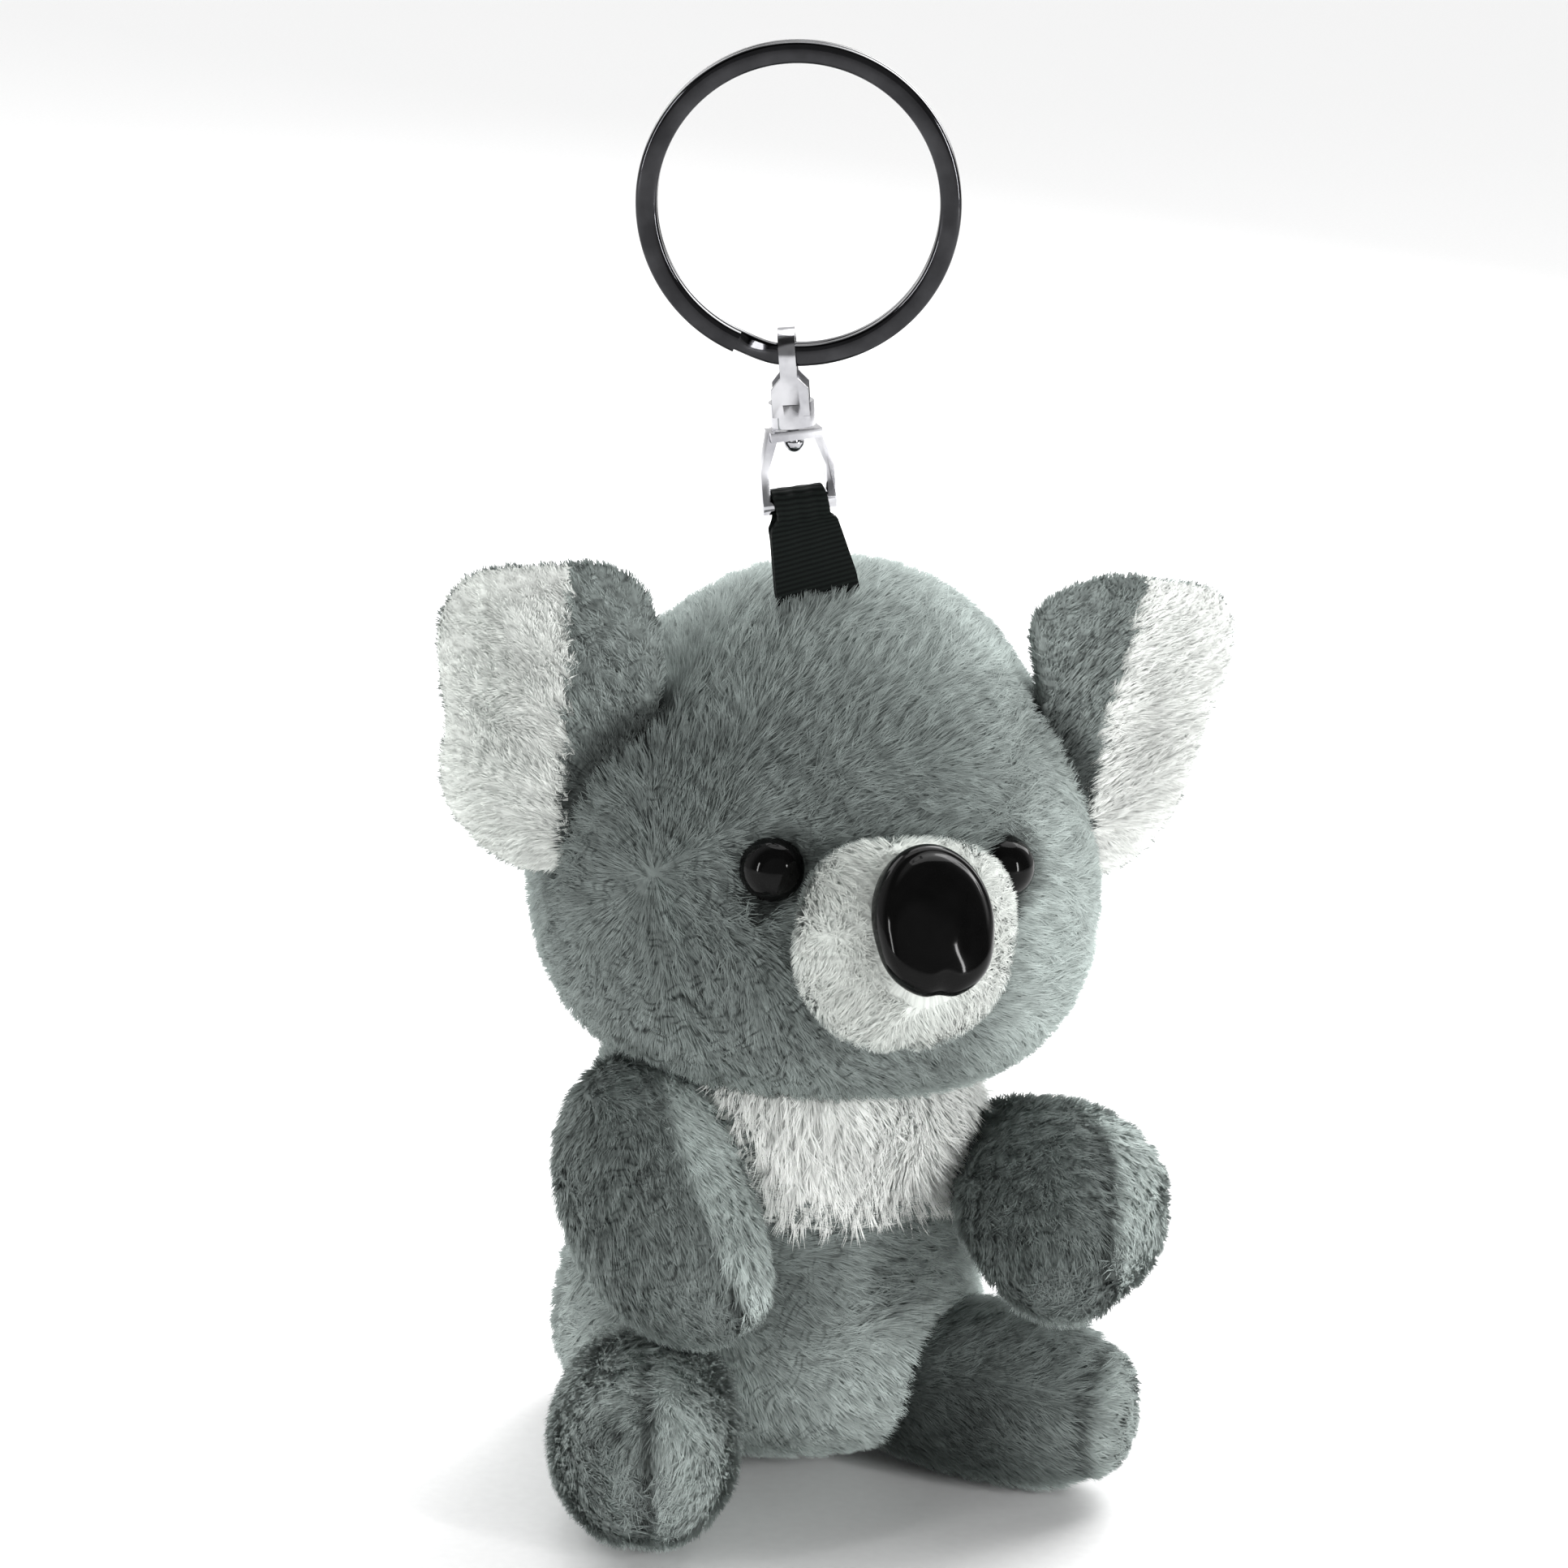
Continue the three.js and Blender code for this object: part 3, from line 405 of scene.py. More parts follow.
def grow_pile(base, name, density, length, lean, whorl, keep, seed, tuft=1.8, gather=0.3, pressed=True, trim=whole,
              painted_light=nothing, dashes=nothing, shade=nothing):
    """Adds hairs to a backing and returns both as one new mesh object.

    density is in hairs per square millimetre, length in millimetres and lean in degrees from upright. The nap
    runs away from the whorl: a place, the way it faces and a radius. keep, trim, frost, dashes and shade take
    places and normals and give shares.
    """
    mesh = base.data
    mesh.calc_loop_triangles()
    skin = points_of(base)
    skin_normals = all_of(mesh.vertex_normals, "vector").astype(float)
    skin_faces = in_fixed_order(all_of(mesh.loop_triangles, "vertices", np.int32))

    rng = np.random.default_rng(seed)
    corner = skin[skin_faces]
    area = np.linalg.norm(np.cross(corner[:, 1] - corner[:, 0], corner[:, 2] - corner[:, 0]), axis=1) / 2
    count = int(area.sum() * density)
    chosen = rng.choice(len(area), count, p=area / area.sum())
    s, t = np.sqrt(rng.random(count)), rng.random(count)
    weights = np.stack([1 - s, s * (1 - t), s * t], 1)[:, :, None]
    root = (corner[chosen] * weights).sum(1)
    normal = unit((skin_normals[skin_faces[chosen]] * weights).sum(1))
    stays = rng.random(count) < keep(root, normal)
    root, normal = root[stays], normal[stays]
    count = len(root)

    height, slope = ripple(root, tuft, seed)
    _, drift = ripple(root, tuft * DRIFT_TUFTS, seed + 2)
    _, stray = ripple(root, tuft * STRAY_TUFTS, seed + 3)
    flow = unit(root - np.array(whorl[0], float)) + DRIFT * drift + STRAY * stray
    flow[:, 2] -= FALL_AT_BACK * smooth_step(root[:, 1], BACK_START, BACK_END)
    flow = unit(flow - (flow * normal).sum(1, keepdims=True) * normal)
    tilt = np.radians(lean + rng.normal(0, LEAN_SPREAD, count) - TUFT_LIFT * height)[:, None]
    combed = normal * np.cos(tilt) + flow * np.sin(tilt)
    aimed = unit(combed + gather * slope + rng.normal(0, JITTER, (count, 3)))
    outwards = (aimed * normal).sum(1, keepdims=True)
    aimed = unit(aimed + normal * np.maximum(LEAST_RISE - outwards, 0))
    reach = length * trim(root, normal) * rng.uniform(*LENGTH_RANGE, count) * (1 + TUFT_LENGTH * height)
    side = unit(np.cross(normal, aimed))
    lift = np.cross(aimed, side)
    foot = root - normal * HAIR_ROOT
    tip = root + aimed * reach[:, None]
    if pressed:
        tip = press_down(tip, skin, skin_normals, length * math.cos(math.radians(lean)))
    half = HAIR_WIDTH / 2
    hairs = np.stack([foot + side * half, foot - side * half, foot + lift * half, tip], 1)
    hair_normals = unit(
        normal[:, None] * (1 - ROUNDNESS) + ROUNDNESS * np.stack([side, -side, lift, (lift + aimed) / 2], 1)
    )
    first = len(skin) + 4 * np.arange(count)[:, None]
    hair_faces = first[:, :, None] + NEEDLE

    places = np.concatenate([skin, hairs.reshape(-1, 3)])
    places[:, 2] = np.maximum(places[:, 2], FLOOR_CLEARANCE)
    faces = np.concatenate([skin_faces, hair_faces.reshape(-1, 3)])
    made = bpy.data.meshes.new(name)
    made.vertices.add(len(places))
    made.vertices.foreach_set("co", (places * MM).astype(np.float32).ravel())
    made.loops.add(faces.size)
    made.loops.foreach_set("vertex_index", faces.astype(np.int32).ravel())
    made.polygons.add(len(faces))
    made.polygons.foreach_set("loop_start", np.arange(0, faces.size, 3, dtype=np.int32))
    made.polygons.foreach_set("use_smooth", np.ones(len(faces), bool))
    made.update(calc_edges=True)

    def stored(key, of_skin, of_hairs, kind="FLOAT", field="value"):
        layer = made.attributes.new(key, kind, "POINT")
        layer.data.foreach_set(field, np.concatenate([of_skin, of_hairs]).astype(np.float32).ravel())

    stored("tip", np.full(len(skin), BACKING_TIP), np.tile([0.0, 0.0, 0.0, 1.0], count))
    stored("hair", np.full(len(skin), BACKING_HAIR), np.repeat(rng.random(count), 4))
    stored("tuft", ripple(skin, tuft, seed)[0], np.repeat(height, 4))
    for key, share in (("painted_light", painted_light), ("dashes", dashes), ("shade", shade)):
        stored(key, share(skin, skin_normals), np.repeat(share(root, normal), 4))
    stored("nap", nap_of(skin, whorl), nap_of(hairs.reshape(-1, 3), whorl), "FLOAT_VECTOR", "vector")
    made.uv_layers.new(name="OFBake")
    made.uv_layers["OFBake"].data.foreach_set("uv", bake_map(skin, faces, len(skin_faces), count))
    made.normals_split_custom_set_from_vertices(
        np.concatenate([skin_normals, hair_normals.reshape(-1, 3)]).astype(np.float32)
    )
    piece = bpy.data.objects.new(name, made)
    bpy.context.scene.collection.objects.link(piece)
    bpy.data.objects.remove(base)
    print(f"{name}: {count} hairs, {len(faces)} triangles")
    return piece


def bake_map(skin, faces, skin_count, hair_count):
    """A place on a picture for each corner: the backing in a strip below, and above it one cell a hair."""
    middle = (skin.max(0) + skin.min(0)) / 2
    around = unit(skin[faces[:skin_count]] - middle)
    lie = np.stack([np.arctan2(around[..., 1], around[..., 0]) / (2 * np.pi) + 0.5, around[..., 2] / 2 + 0.5], -1)
    lie[..., 1] *= BAKE_STRIP * 0.98
    columns = max(1, math.ceil(math.sqrt(hair_count / (1 - BAKE_STRIP))))
    rows = max(1, math.ceil(hair_count / columns))
    index = np.arange(hair_count)
    cell = np.stack([(index % columns) / columns, BAKE_STRIP + (1 - BAKE_STRIP) * (index // columns) / rows], -1)
    size = np.array([1 / columns, (1 - BAKE_STRIP) / rows])
    spots = np.array([[0.1, 0.1], [0.9, 0.1], [0.5, 0.1], [0.5, 0.9]])
    hair_uv = cell[:, None, None] + spots[NEEDLE][None] * size
    return np.concatenate([lie.reshape(-1), hair_uv.reshape(-1)]).astype(np.float32)


# %% [markdown]
# ## Plush colours
#
# The grey fabric is darker at the root of each fibre and lighter at the tip. The white one is nearly one colour
# with a cool painted shade between its tufts. Both read what each hair stored: how far along it a point is, a random
# value of its own, whether it stands in a tuft or a parting, and how much painted light makes it pale, on lit sides
# and where the nap shows its pale side. The short dark dashes are painted shade across the nap, in the partings
# where one row of tips ends and the roots of the next show: a wave along the nap, bent by a noise and broken up by
# another.

# %% Plush material
DASH_PITCH = 0.95  # millimetres from one parting to the next along the nap
DASH_BEND = 26  # how far a noise bends the partings, in radians of their wave
DASH_DARKNESS = 0.3  # brightness that is left in the middle of a parting
SHADE_DARKNESS = 0.12  # brightness that is left where a piece stores full shade
PALE_ROOT_SHARE = 0.75
SHEEN_TINT = (0.88, 1.0, 0.96, 1)


def plush(name, root, tip, pale, parting):
    """A pile fabric: the colour of a hair's root and tip, that of its pale side under painted light, and the darkest
    painted shade between tufts.
    """
    cloth = Wiring(bpy.data.materials.new(name))
    place, nap = cloth.place(), cloth.read("nap", "Vector")
    combed = cloth.add("Mapping", "Vector", {"Vector": nap, "Scale": (0.35, 2.2, 1)})
    streaks = cloth.ranged(cloth.noise(combed, 1.0), 0.3, 0.7, 0.82, 1.16)
    clouds = cloth.ranged(cloth.noise(place, 160, 3), 0.3, 0.7, 0.88, 1.12)
    # Painted shade: the dashes are dark partings across the nap.
    along_nap = cloth.add("SeparateXYZ", "X", {"Vector": nap})
    rings = cloth.arithmetic("MULTIPLY", along_nap, 2 * math.pi / DASH_PITCH)
    bent = cloth.arithmetic("MULTIPLY_ADD", cloth.noise(place, 340, 1), DASH_BEND, rings)
    dash = cloth.ranged(cloth.arithmetic("SINE", bent), 0.1, 0.95, 0, 1)
    dash = cloth.arithmetic("MULTIPLY", dash, cloth.ranged(cloth.noise(place, 620, 1), 0.46, 0.6, 0, 1))
    dash = cloth.arithmetic("MULTIPLY", dash, cloth.read("dashes"))

    pale_root = (*(PALE_ROOT_SHARE * c for c in pale), 1)
    # Painted light: where a piece stores it, root and tip are mixed towards the pale colours.
    rooted = cloth.mixed("MIX", cloth.read("painted_light"), (*root, 1), pale_root)
    lit_tip = cloth.mixed("MIX", cloth.read("painted_light"), (*tip, 1), (*pale, 1))
    colour = cloth.mixed("MIX", cloth.ranged(cloth.read("tip"), 0, 0.8, 0, 1), rooted, lit_tip)
    # Painted shade in the partings between tufts, with a faint painted light on the tufts; the dashes and stored
    # shade are painted shade too.
    for brightness in (
        cloth.ranged(cloth.read("hair"), 0, 1, 0.86, 1.14),
        cloth.ranged(cloth.read("tuft"), -1.4, 0.8, parting, 1.06),
        streaks,
        clouds,
        cloth.ranged(dash, 0, 1, 1, DASH_DARKNESS),
        cloth.ranged(cloth.read("shade"), 0, 1, 1, SHADE_DARKNESS),
    ):
        colour = cloth.mixed("MULTIPLY", 1.0, colour, brightness)
    return cloth.shaded({
        "Base Color": colour, "Roughness": 0.9, "Specular IOR Level": 0.1,
        "Sheen Weight": 0.5, "Sheen Roughness": 0.35, "Sheen Tint": SHEEN_TINT,
    })


# The pale colours are reached where a piece stores full painted light.
GREY_ROOT = (0.10, 0.115, 0.11)
GREY_TIP = (0.20, 0.228, 0.219)
GREY_PALE = (0.56, 0.63, 0.605)
WHITE_ROOT = (0.60, 0.63, 0.60)
WHITE_TIP = (0.66, 0.69, 0.65)
WHITE_PALE = (0.97, 0.99, 0.955)

grey_plush = plush("grey_plush", GREY_ROOT, GREY_TIP, GREY_PALE, parting=0.72)
white_plush = plush("white_plush", WHITE_ROOT, WHITE_TIP, WHITE_PALE, parting=0.92)


# %% Giving a soft piece its cloth
def dress(piece, material, slot, *stands_for):
    piece.data.materials.append(material)
    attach(piece, "plush")
    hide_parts(*stands_for)


# %% [markdown]
# ## The soft forms
#
# Every stuffed form is a ball that has been pushed into shape. Each function below takes points on a unit ball
# and gives places in millimetres, with the same sizes as the construction. A test beside it says how deep a place
# lies in the form, so that a neighbour can leave out the hairs that would stand inside.

# %% A ball as the start of each form
def ball(name, around, rings, place):
    made = added(bpy.ops.mesh.primitive_uv_sphere_add, name, segments=around, ring_count=rings, radius=1)
    directions = points_of(made) * MM
    set_points(made, place(directions))
    return made


# %% A second form and a panel cut out of it
def twin(form):
    made = form.copy()
    made.data = form.data.copy()
    bpy.context.scene.collection.objects.link(made)
    return made


def cut_panel(form, inside, lift, backing):
    """Keeps the faces whose middles are inside, lifts them off the form and gives them a thickness."""
    faces = form.data.polygons
    kept = inside(all_of(faces, "center").astype(float) / MM, all_of(faces, "normal").astype(float))
    with editing(form):
        bpy.ops.mesh.select_mode(type="FACE")
        bpy.ops.mesh.select_all(action="DESELECT")
    form.data.polygons.foreach_set("select", ~kept)
    with editing(form):
        bpy.ops.mesh.delete(type="FACE")
    set_points(form, points_of(form) + lift * all_of(form.data.vertex_normals, "vector"))
    apply_modifier(form, "SOLIDIFY", thickness=backing * MM, offset=-1)


# %% Torso and head
TORSO_HALF = np.array([20.4, 19, 23.2])
TORSO_RISE = 22.7
TORSO_SET_BACK = 0.5
TORSO_TAPER_SHARE = 0.1
SPREAD_SHARE = 0.75  # how much it spreads at the seat and below the head
HEAD_HALF = np.array([27.4, 25.5, 26.2])
CROWN_TAPER_SHARE = 0.19
FACE_TAPER_SHARE = 0.12
JOWL_SHARE = 0.4


class Bag:
    """A stuffed bag: its middle, its half sizes, and how much wider and deeper it is at each share of its height."""

    def __init__(self, middle, half, wider, deeper):
        self.middle, self.half, self.wider, self.deeper = middle, half, wider, deeper

    def swell(self, z):
        return np.stack([self.wider(z), self.deeper(z), np.ones(len(z))], 1)

    def place(self, d, extra):
        return d * (self.half + extra) * self.swell(d[:, 2]) + self.middle

    def depth(self, p):
        """Below 1 inside the bag's surface, above 1 outside."""
        off = (p - self.middle) / self.half
        off[:, 2] = np.clip(off[:, 2], -1.2, 1.2)
        return np.linalg.norm(off / self.swell(off[:, 2]), axis=1)


def torso_swell(z):
    return (1 + SPREAD_SHARE * z * z) * (1 - TORSO_TAPER_SHARE * z)


def head_swell(share):
    return lambda z: 1 - share * z + np.where(z < 0, JOWL_SHARE * z ** 4, 0)


torso_bag = Bag([0, TORSO_SET_BACK, TORSO_RISE], TORSO_HALF, torso_swell, torso_swell)
head_bag = Bag([0, 0, HEAD_RISE], HEAD_HALF, head_swell(CROWN_TAPER_SHARE), head_swell(FACE_TAPER_SHARE))


# %% Muzzle, nose and eyes
MUZZLE_HALF = np.array([10.8, 7, 10.4])
MUZZLE_PLACE = HEAD_HALF * np.array([0, -1.07, -0.16]) + np.array([0, 0, HEAD_RISE])
FACE_TURN = math.radians(3)  # the face is sewn on looking a little to the koala's left
NOSE_HALF_WIDTH = 5.7
NOSE_HALF_HEIGHT = 7.2
NOSE_BULGE = 3.4
NOSE_RISE = math.radians(24)
NOSE_LEAN = math.radians(33)
EYE_RADIUS = 3.4
EYE_BULGE = 3
EYE_OUT = math.radians(26.5)
EYE_RISE = math.radians(3.5)


face_turn = np.array(Matrix.Rotation(FACE_TURN, 3, "Z"))


def muzzle_local(p):
    """Places from the muzzle's middle, along its own axes."""
    return p @ face_turn - MUZZLE_PLACE


def muzzle_depth(p):
    return np.linalg.norm(muzzle_local(p) / MUZZLE_HALF, axis=1)


def facing(place, outward):
    """The frame of a round fitting: its first axis level, its second upwards, its third outwards."""
    third = unit(np.array(outward))
    first = unit(np.cross([0, 0, 1], third))
    return np.array(place), np.stack([first, np.cross(third, first), third])


nose_place, nose_axes = facing(
    face_turn @ (MUZZLE_PLACE + MUZZLE_HALF * [0, -math.cos(NOSE_RISE), math.sin(NOSE_RISE)]),
    face_turn @ np.array([0, -math.cos(NOSE_LEAN), math.sin(NOSE_LEAN)]),
)


def eye_frame(side):
    way = np.array([[
        side * math.sin(EYE_OUT) * math.cos(EYE_RISE), -math.cos(EYE_OUT) * math.cos(EYE_RISE), math.sin(EYE_RISE),
    ]]) @ face_turn.T
    return facing(head_bag.place(way, 0)[0], way[0] / HEAD_HALF)


eyes = {"right": eye_frame(-1), "left": eye_frame(1)}


FITTING_REACH = 8


def off_fitting(p, fitting, half_width, half_height):
    """Distance from a fitting's axis, in shares of its half sizes. Far behind the fitting it is always large."""
    place, axes = fitting
    local = (p - place) @ axes.T
    off = np.hypot(local[:, 0] / half_width, local[:, 1] / half_height)
    return np.where(local[:, 2] > -FITTING_REACH, off, 9)


# %% Limbs
LIMB_FULL_SHARE = 0.14
TORSO_TOP = TORSO_RISE + TORSO_HALF[2]


class Limb:
    """A stuffed limb: its root, its bowed line and its half sizes at the root and the tip."""

    def __init__(self, root_shares, heading, drop, bow, roll, length, widths, depths):
        self.side = math.copysign(1, root_shares[0])
        heading, drop, roll = map(math.radians, (heading, drop, roll))
        self.along = np.array([
            math.sin(heading) * math.cos(drop), -math.cos(heading) * math.cos(drop), -math.sin(drop),
        ])
        across = np.array([math.cos(heading), math.sin(heading), 0])
        above = np.cross(across, self.along)
        self.across = across * math.cos(roll) + np.cross(self.along, across) * math.sin(roll)
        self.above = above * math.cos(roll) + np.cross(self.along, above) * math.sin(roll)
        self.root = np.array([
            root_shares[0] * TORSO_HALF[0],
            root_shares[1] * TORSO_HALF[1] + TORSO_SET_BACK,
            root_shares[2] * TORSO_TOP,
        ])
        self.bow, self.length, self.widths, self.depths = bow, length, widths, depths

    def girth(self, t):
        """The half width and the half depth at each share along the limb."""
        return (ends[0] + (ends[1] - ends[0]) * t for ends in (self.widths, self.depths))

    def line(self, t, extra=0):
        span = self.length + 2 * extra
        straight = self.root - self.along * extra + t[:, None] * self.along * span
        return straight + (4 * t * (1 - t) * self.side * self.bow)[:, None] * self.across

    def place(self, d, extra):
        z = np.clip(d[:, 2], -1, 1)
        t = (1 - z) / 2
        blunt = np.maximum(1 - z * z, 1e-9) ** -LIMB_FULL_SHARE
        width, depth = ((size + extra) * blunt for size in self.girth(t))
        sideways = (d[:, 0] * width)[:, None] * self.across
        upwards = (d[:, 1] * depth)[:, None] * self.above
        return self.line(t, extra) + sideways + upwards

    def local(self, p):
        """Share along the limb, and the places across and above its line in shares of its half sizes."""
        t = (p - self.root) @ self.along / self.length
        off = p - self.line(t)
        width, depth = self.girth(t)
        return t, off @ self.across / width, off @ self.above / depth

    def depth(self, p):
        t, x, y = self.local(p)
        z = np.clip(1 - 2 * t, -1, 1)
        room = np.maximum(1 - z * z, 1e-6) ** (0.5 - LIMB_FULL_SHARE)
        return np.where((t < 0) | (t > 1), 9, np.hypot(x, y) / room)


ARM = dict(length=32, widths=(9.8, 9.4), depths=(7.6, 8.4))
LEG = dict(length=35.5, widths=(8, 10.6), depths=(8, 10.4))
arm_right = Limb((-0.86, -0.16, 0.87), heading=12, drop=39, bow=2, roll=20, **ARM)
arm_left = Limb((1, -0.1, 0.69), heading=-2, drop=11, bow=4.5, roll=18, **ARM)
leg_right = Limb((-0.56, -0.22, 0.24), heading=-17, drop=0, bow=1, roll=0, **LEG)
leg_left = Limb((0.08, -0.22, 0.24), heading=56, drop=0, bow=1, roll=0, **LEG)

# %% Seating the legs
GROUND_CUT = 0.5

ring, rows = np.meshgrid(np.linspace(0, 2 * np.pi, 49), np.linspace(-1, 1, 49))
flat = np.sqrt(1 - rows ** 2)
shell = np.stack([flat * np.cos(ring), flat * np.sin(ring), rows], -1).reshape(-1, 3)
for leg in (leg_right, leg_left):
    leg.root[2] -= leg.place(shell, 0)[:, 2].min() + GROUND_CUT

# %% Ears
EAR_HALF_WIDTH = 10.5
EAR_HALF_HEIGHT = 16
EAR_PANEL = 3.4
EAR_CUP = 3.6
EAR_PLACE = HEAD_HALF * np.array([0.99, -0.12, 0.46]) + np.array([0, 0, HEAD_RISE])
EAR_SQUARE_SHARE = 0.16
EAR_TAPER_SHARE = 0.2
EAR_FOLD_SHARE = 0.12
EAR_FOLD_SLOPE = math.radians(5)
ear_turn = np.array(
    Matrix.Rotation(math.radians(14), 3, "Z")
    @ Matrix.Rotation(math.radians(8), 3, "X")
    @ Matrix.Rotation(math.radians(8), 3, "Y")
)


def ear_place(d, side, inset):
    x, y, z = d[:, 0] * side, d[:, 1], d[:, 2]
    corner = 1 + 4 * EAR_SQUARE_SHARE * x * x * z * z
    reach = np.minimum(1, x * x + z * z)
    own = np.stack([
        x * (EAR_HALF_WIDTH - inset) * (1 + EAR_TAPER_SHARE * z) * corner,
        y * (EAR_PANEL - inset * 0.6) - EAR_CUP * reach,
        z * (EAR_HALF_HEIGHT - inset) * corner,
    ], 1)
    return (own @ ear_turn.T + EAR_PLACE) * [side, 1, 1]


def ear_local(p, side):
    """Places in the ear's own frame: outwards, backwards and up."""
    return (p * [side, 1, 1] - EAR_PLACE) @ ear_turn


def ear_depth(side):
    """A test that is below 1 inside the ear on that side."""
    def depth(p):
        own = ear_local(p, side)
        z = own[:, 2] / EAR_HALF_HEIGHT
        x = own[:, 0] / (EAR_HALF_WIDTH * (1 + EAR_TAPER_SHARE * np.clip(z, -1, 1)))
        y = (own[:, 1] + EAR_CUP * np.minimum(1, x * x + z * z)) / EAR_PANEL
        return np.sqrt(x * x + y * y + z * z)
    return depth


def ear_white(p, side, normal):
    """1 on the white front panel, 0 on the grey one, with a ragged border."""
    own = ear_local(p, side)
    faced = (normal * [side, 1, 1]) @ ear_turn
    wander, _ = ripple(p, 3.0, 77)
    fold = -EAR_FOLD_SHARE * EAR_HALF_WIDTH - own[:, 2] * math.tan(EAR_FOLD_SLOPE) + 0.35 * wander
    return ((faced[:, 1] < -0.12) & (own[:, 0] > fold)).astype(float)


# %% [markdown]
# ## The head
#
# One bag of grey plush, full at the cheeks and narrower at the crown. Its nap runs away on all sides from a whorl
# on the right cheek: up over the brow, across the face and down under the chin. Around each eye the stuffing is
# drawn in by the bead's washer, which leaves a shallow socket. Where each ear is sewn on, the pile is in shade.
# Where the nap is painted pale with painted light, or broken by dashes of painted shade, is told by regions: each
# begins and ends at a place in millimetres.

# %% Head form
SOCKET_DEPTH = 0.4
SOCKET_RADIUS = 7 / math.sqrt(2)
CHEEK_FULLNESS, CHEEK_WAY, CHEEK_REACH = 1.9, (0.75, -0.35, -0.55), 0.55
CROWN_FULLNESS, CROWN_WAY, CROWN_REACH = 1.3, (0.5, -0.1, 0.86), 0.4


def shaped_head(d):
    p = head_bag.place(d, -PILE_DEPTH)
    inward = unit(p - [0, 0, HEAD_RISE])
    dent = sum(SOCKET_DEPTH * bell(np.linalg.norm(p - place, axis=1), 0, SOCKET_RADIUS) for place, _ in eyes.values())
    cheek = CHEEK_FULLNESS * bell(np.linalg.norm(d - CHEEK_WAY, axis=1), 0, CHEEK_REACH)
    crown = CROWN_FULLNESS * bell(np.linalg.norm(d - CROWN_WAY, axis=1), 0, CROWN_REACH)
    return p + inward * (cheek + crown - dent)[:, None]


def outside_neighbours(*depths):
    def share(p, normal):
        out = np.ones(len(p))
        for depth, limit in depths:
            out *= depth(p) > limit
        return out
    return share


def near_neighbours(*depths):
    """The shadow in a seam: strong at a neighbour's surface and gone a little way off it."""
    def share(p, normal):
        dark = np.zeros(len(p))
        for depth, strength, reach in depths:
            dark = np.maximum(dark, strength * (1 - smooth_step(depth(p), 1, 1 + reach)))
        return dark
    return share


BARE_RADIUS = EYE_RADIUS * 0.76  # no hair stands nearer to an eye's axis


def head_keep(p, normal):
    stays = outside_neighbours(
        (muzzle_depth, 0.95), (torso_bag.depth, 0.9), (ear_depth(-1), 0.9), (ear_depth(1), 0.9)
    )(p, normal)
    for fitting in eyes.values():
        stays *= off_fitting(p, fitting, BARE_RADIUS, BARE_RADIUS) > 1
    return stays


def head_painted_light(p, normal):
    """Painted light: paler on the koala's left cheek and the crown, where the nap lies against the light, a little on
    the back and chin.
    """
    cheek = smooth_step(p[:, 0], 8, 18) * smooth_step(-p[:, 2], -84, -66)
    brow = smooth_step(p[:, 0], 3, 15) * smooth_step(p[:, 2], 66, 76)
    crown = smooth_step(p[:, 2], 74, 87) * 0.4
    back = smooth_step(p[:, 1], -8, 14) * 0.15
    chin = 0.12 * smooth_step(-p[:, 2], -52, -42)
    return np.clip(0.08 + 0.72 * np.maximum(cheek, 0.6 * brow) + 0.8 * crown + back + chin, 0, 1)


# Painted shade: dashes mostly on the koala's right cheek and low on the face, few on its left cheek.
def head_dashes(p, normal):
    left_cheek = smooth_step(-p[:, 0], -6, 6) * smooth_step(-p[:, 2], -78, -64)
    low = smooth_step(-p[:, 2], -58, -48) * (1 - smooth_step(p[:, 0], 4, 14))
    return np.clip(0.12 + 0.55 * left_cheek + 0.5 * low, 0, 1) * (1 - 0.8 * smooth_step(p[:, 0], 6, 16))


RING_SHADE = 0.7
TEAR_SHADE = 0.97
TEAR_START = EYE_RADIUS * 0.6  # below the eye's middle
TEAR_LENGTH = 3.8
TEAR_HALF_WIDTH = 2.6
TEAR_SHIFT = 1.4  # the hairs over the tear start this far towards the whorl


def eye_shadow(p):
    """The shade round each bead, deepest at its rim, and running to a point below it."""
    dark = np.zeros(len(p))
    for place, axes in eyes.values():
        across, up, out = ((p - place) @ axes.T).T
        ring = RING_SHADE * (1 - smooth_step(np.hypot(across, up), EYE_RADIUS - 0.6, EYE_RADIUS + 1.2))
        below = -up - TEAR_START
        sideways = np.abs(across + TEAR_SHIFT)
        tear = (sideways < TEAR_HALF_WIDTH * (1 - below / TEAR_LENGTH)) * (below > 0) * (below < TEAR_LENGTH)
        dark = np.maximum(dark, np.maximum(ring, TEAR_SHADE * tear) * (out > -FITTING_REACH / 2))
    return dark


HEAD_WHORL = ((-20.5, -16.9, 62.3), (-0.6, -0.8, 0), 22)
ear_shadow = near_neighbours((ear_depth(-1), 0.7, 0.16), (ear_depth(1), 0.5, 0.16))
head = ball("head_form", 96, 64, shaped_head)
head = grow_pile(
    head, "head", density=16, length=2.3, lean=68, whorl=HEAD_WHORL, keep=head_keep, seed=11, gather=0.22,
    painted_light=head_painted_light, dashes=head_dashes, shade=lambda p, n: np.maximum(ear_shadow(p, n), eye_shadow(p)),
)
dress(head, grey_plush, "grey_plush", "head_skin")

# %% [markdown]
# ## The muzzle
#
# A separate small bag of white plush with a shorter pile, so that its round outline stays clear against the grey.
# Below the nose its stitching draws in a short furrow to the chin.

# %% Muzzle
FURROW_DEPTH = 0.5
FURROW_WIDTH = 1.3
MUZZLE_PILE_DEPTH = PILE_DEPTH * 0.8  # its pile is shorter
MUZZLE_CORNER_SHARE = 0.12


